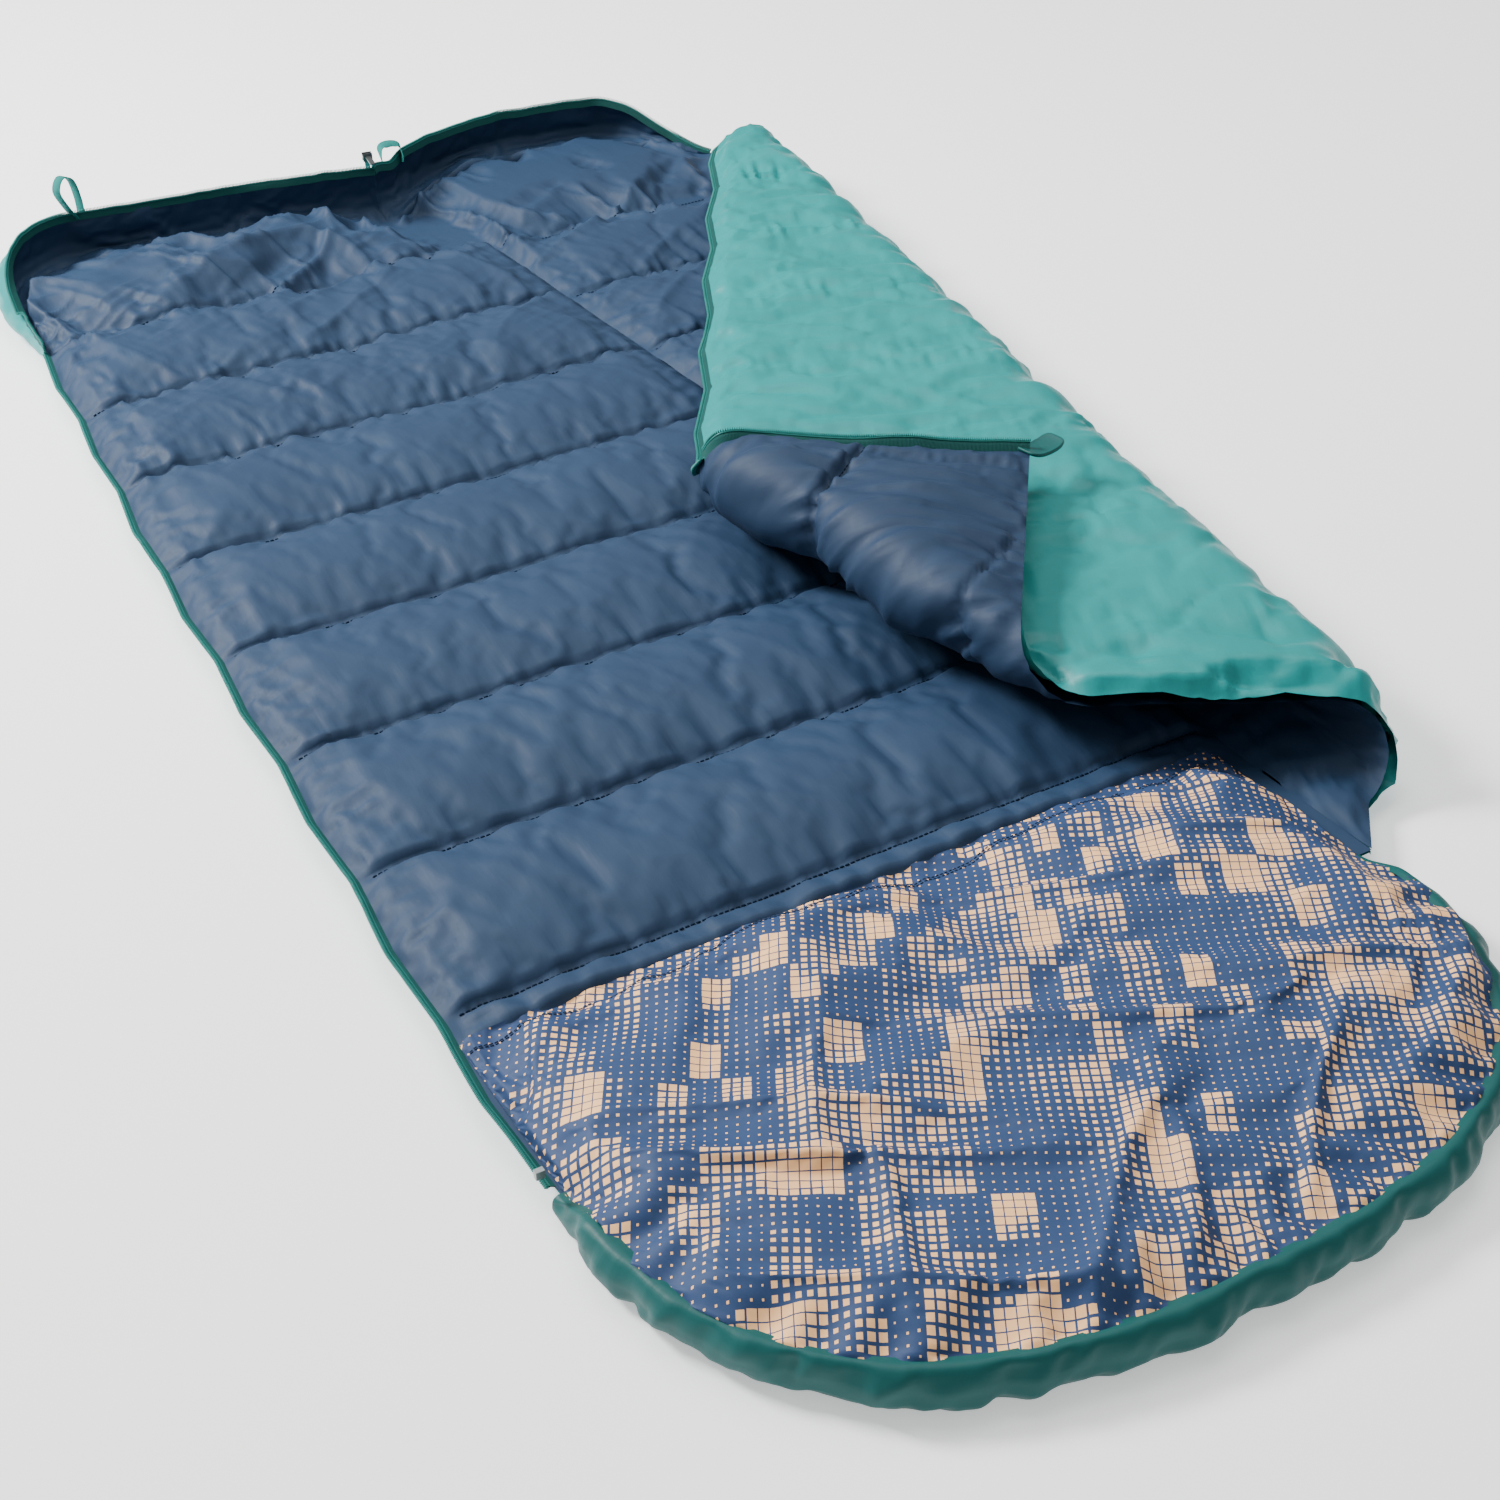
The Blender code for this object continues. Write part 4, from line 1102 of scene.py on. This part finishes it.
LOOP_THICK = 0.0011
base_top, cover_top = base_lining[-1], cover_lining[-1]
foot = nearest_top(base_top, (-0.77, 8.32)) + [0, 0.003, -0.002]
shape = [(-0.004, 0, 0), (-0.012, 0.004, 0.016), (-0.017, 0.008, 0.034), (-0.006, 0.010, 0.046),
         (0.006, 0.008, 0.040), (0.008, 0.004, 0.020), (0.005, 0, 0)]
swing = np.array([[0.866, 0.5, 0], [-0.5, 0.866, 0], [0, 0, 1]])
path = foot + curve_through(shape) @ swing
loop = strap("hang_loop_left_tape", path, (0.5, -0.866, 0), 0.012, LOOP_THICK, LOOP_TAPE)
give(loop, "loop_left", "tape", "hang_loop_left")
foot = nearest_top(cover_top, LOOP_SPOT) + [0, 0.004, -0.001]
shape = [(-0.011, 0.001, 0), (-0.012, 0.004, 0.012), (-0.008, 0.009, 0.020), (0.004, 0.012, 0.021),
         (0.013, 0.009, 0.018), (0.014, 0.004, 0.009), (0.012, 0.001, 0)]
path = foot + curve_through(shape)
loop = strap("hang_loop_right_tape", path, (0.2, 1, 0.25), 0.014, LOOP_THICK, LOOP_TAPE)
give(loop, "loop_right", "tape", "hang_loop_right")

line = unit(FREE_CORNER - (TURN_NECK + TURN_SIDE) / 2)
side = np.array([-line[1], line[0]])
low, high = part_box("corner_tab")
middle = np.array([(a + b) / 2 for a, b in zip(low, high)])
a = np.linspace(0, 2 * math.pi, 49)[:-1]
oval = np.stack([np.sign(np.cos(a)) * np.abs(np.cos(a)) ** 0.45 * 0.020,
                 np.sign(np.sin(a)) * np.abs(np.sin(a)) ** 0.45 * 0.0125], 1)
rings = []
tab_top = [(0.0, 0.0014), (0.5, 0.0016), (0.86, 0.0013), (0.90, 0.0017), (0.97, 0.0014)]
for shrink, level in (*tab_top, (1.0, 0.0), *((a, -b) for a, b in reversed(tab_top))):
    spot = oval * shrink
    flat_place = middle[:2] + spot[:, :1] * line + spot[:, 1:] * side
    curl = 0.004 * (spot[:, 0] / 0.020) ** 2
    rings.append(np.concatenate([flat_place, (middle[2] + level + curl)[:, None]], 1))
rings = np.array(rings)
rings = np.concatenate([rings, rings[:, :1]], 1)
uv = (rings[..., :2] - middle[:2])
# The tab takes the darker teal copy too: painted shade
tab = grid_object("corner_tab_cloth", rings, uv, TEAL_PAINTED_SHADE)
give(tab, "corner_tab", "shell", "corner_tab")

for name in ("slider_body", "slider_pull_outside", "slider_pull_inside", "zip_stop_base"):
    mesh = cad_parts[name].data
    mesh.materials.clear()
    mesh.materials.append(METAL)


# Studio

CAMERA_TURN, CAMERA_RISE, CAMERA_ROLL = -28.57, 34.31, -2.38  # degrees
CAMERA_TARGET, CAMERA_DISTANCE = np.array([0.0272, 0.187, 0.0]), 1.7763
CAMERA_LENS = 55.02
KEY_WATTS, TOP_WATTS, SKY, FLOOR_GLOW = 295, 74, 0.40, 0.55

bpy.ops.mesh.primitive_plane_add(size=60, location=(0, 0, -0.0003))
floor = bpy.context.object
floor.name = "floor"
paper, tree, shader = look("studio_paper", (0.95, 0.95, 0.95), 0.9)
shader.inputs["Emission Color"].default_value = (1, 1, 1, 1)
shader.inputs["Emission Strength"].default_value = FLOOR_GLOW
floor.data.materials.append(paper)
floor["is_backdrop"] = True

world = bpy.data.worlds.new("studio")
bpy.context.scene.world = world
world.use_nodes = True
world.node_tree.nodes["Background"].inputs[0].default_value = (1, 1, 1, 1)
world.node_tree.nodes["Background"].inputs[1].default_value = SKY


def soft_light(name, place, size, watts, target=(0, 0.4, 0)):
    lamp = bpy.data.lights.new(name, "AREA")
    lamp.size = size
    lamp.energy = watts
    made = bpy.data.objects.new(name, lamp)
    made.location = place
    made.rotation_euler = (Vector(target) - Vector(place)).to_track_quat("-Z", "Y").to_euler()
    bpy.context.scene.collection.objects.link(made)
    made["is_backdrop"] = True


soft_light("key", (-1.9, 2.6, 2.5), 1.1, KEY_WATTS)
soft_light("top", (0.6, 1.2, 3.2), 2.6, TOP_WATTS)

azimuth, elevation, roll = (math.radians(v) for v in (CAMERA_TURN, CAMERA_RISE, CAMERA_ROLL))
level = math.cos(elevation)
back = np.array([math.sin(azimuth) * level, -math.cos(azimuth) * level, math.sin(elevation)])
place = CAMERA_TARGET + back * CAMERA_DISTANCE
side = unit(np.cross(-back, [0, 0, 1]))
above = np.cross(side, -back)
side, above = (math.cos(roll) * side + math.sin(roll) * above, math.cos(roll) * above - math.sin(roll) * side)
camera_data = bpy.data.cameras.new("camera")
camera_data.lens = CAMERA_LENS
camera_data.clip_end = 60
camera = bpy.data.objects.new("camera", camera_data)
camera.matrix_world = Matrix(np.column_stack([side, above, back]).tolist()).to_4x4()
camera.location = place
bpy.context.scene.collection.objects.link(camera)
bpy.context.scene.camera = camera

low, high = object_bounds()
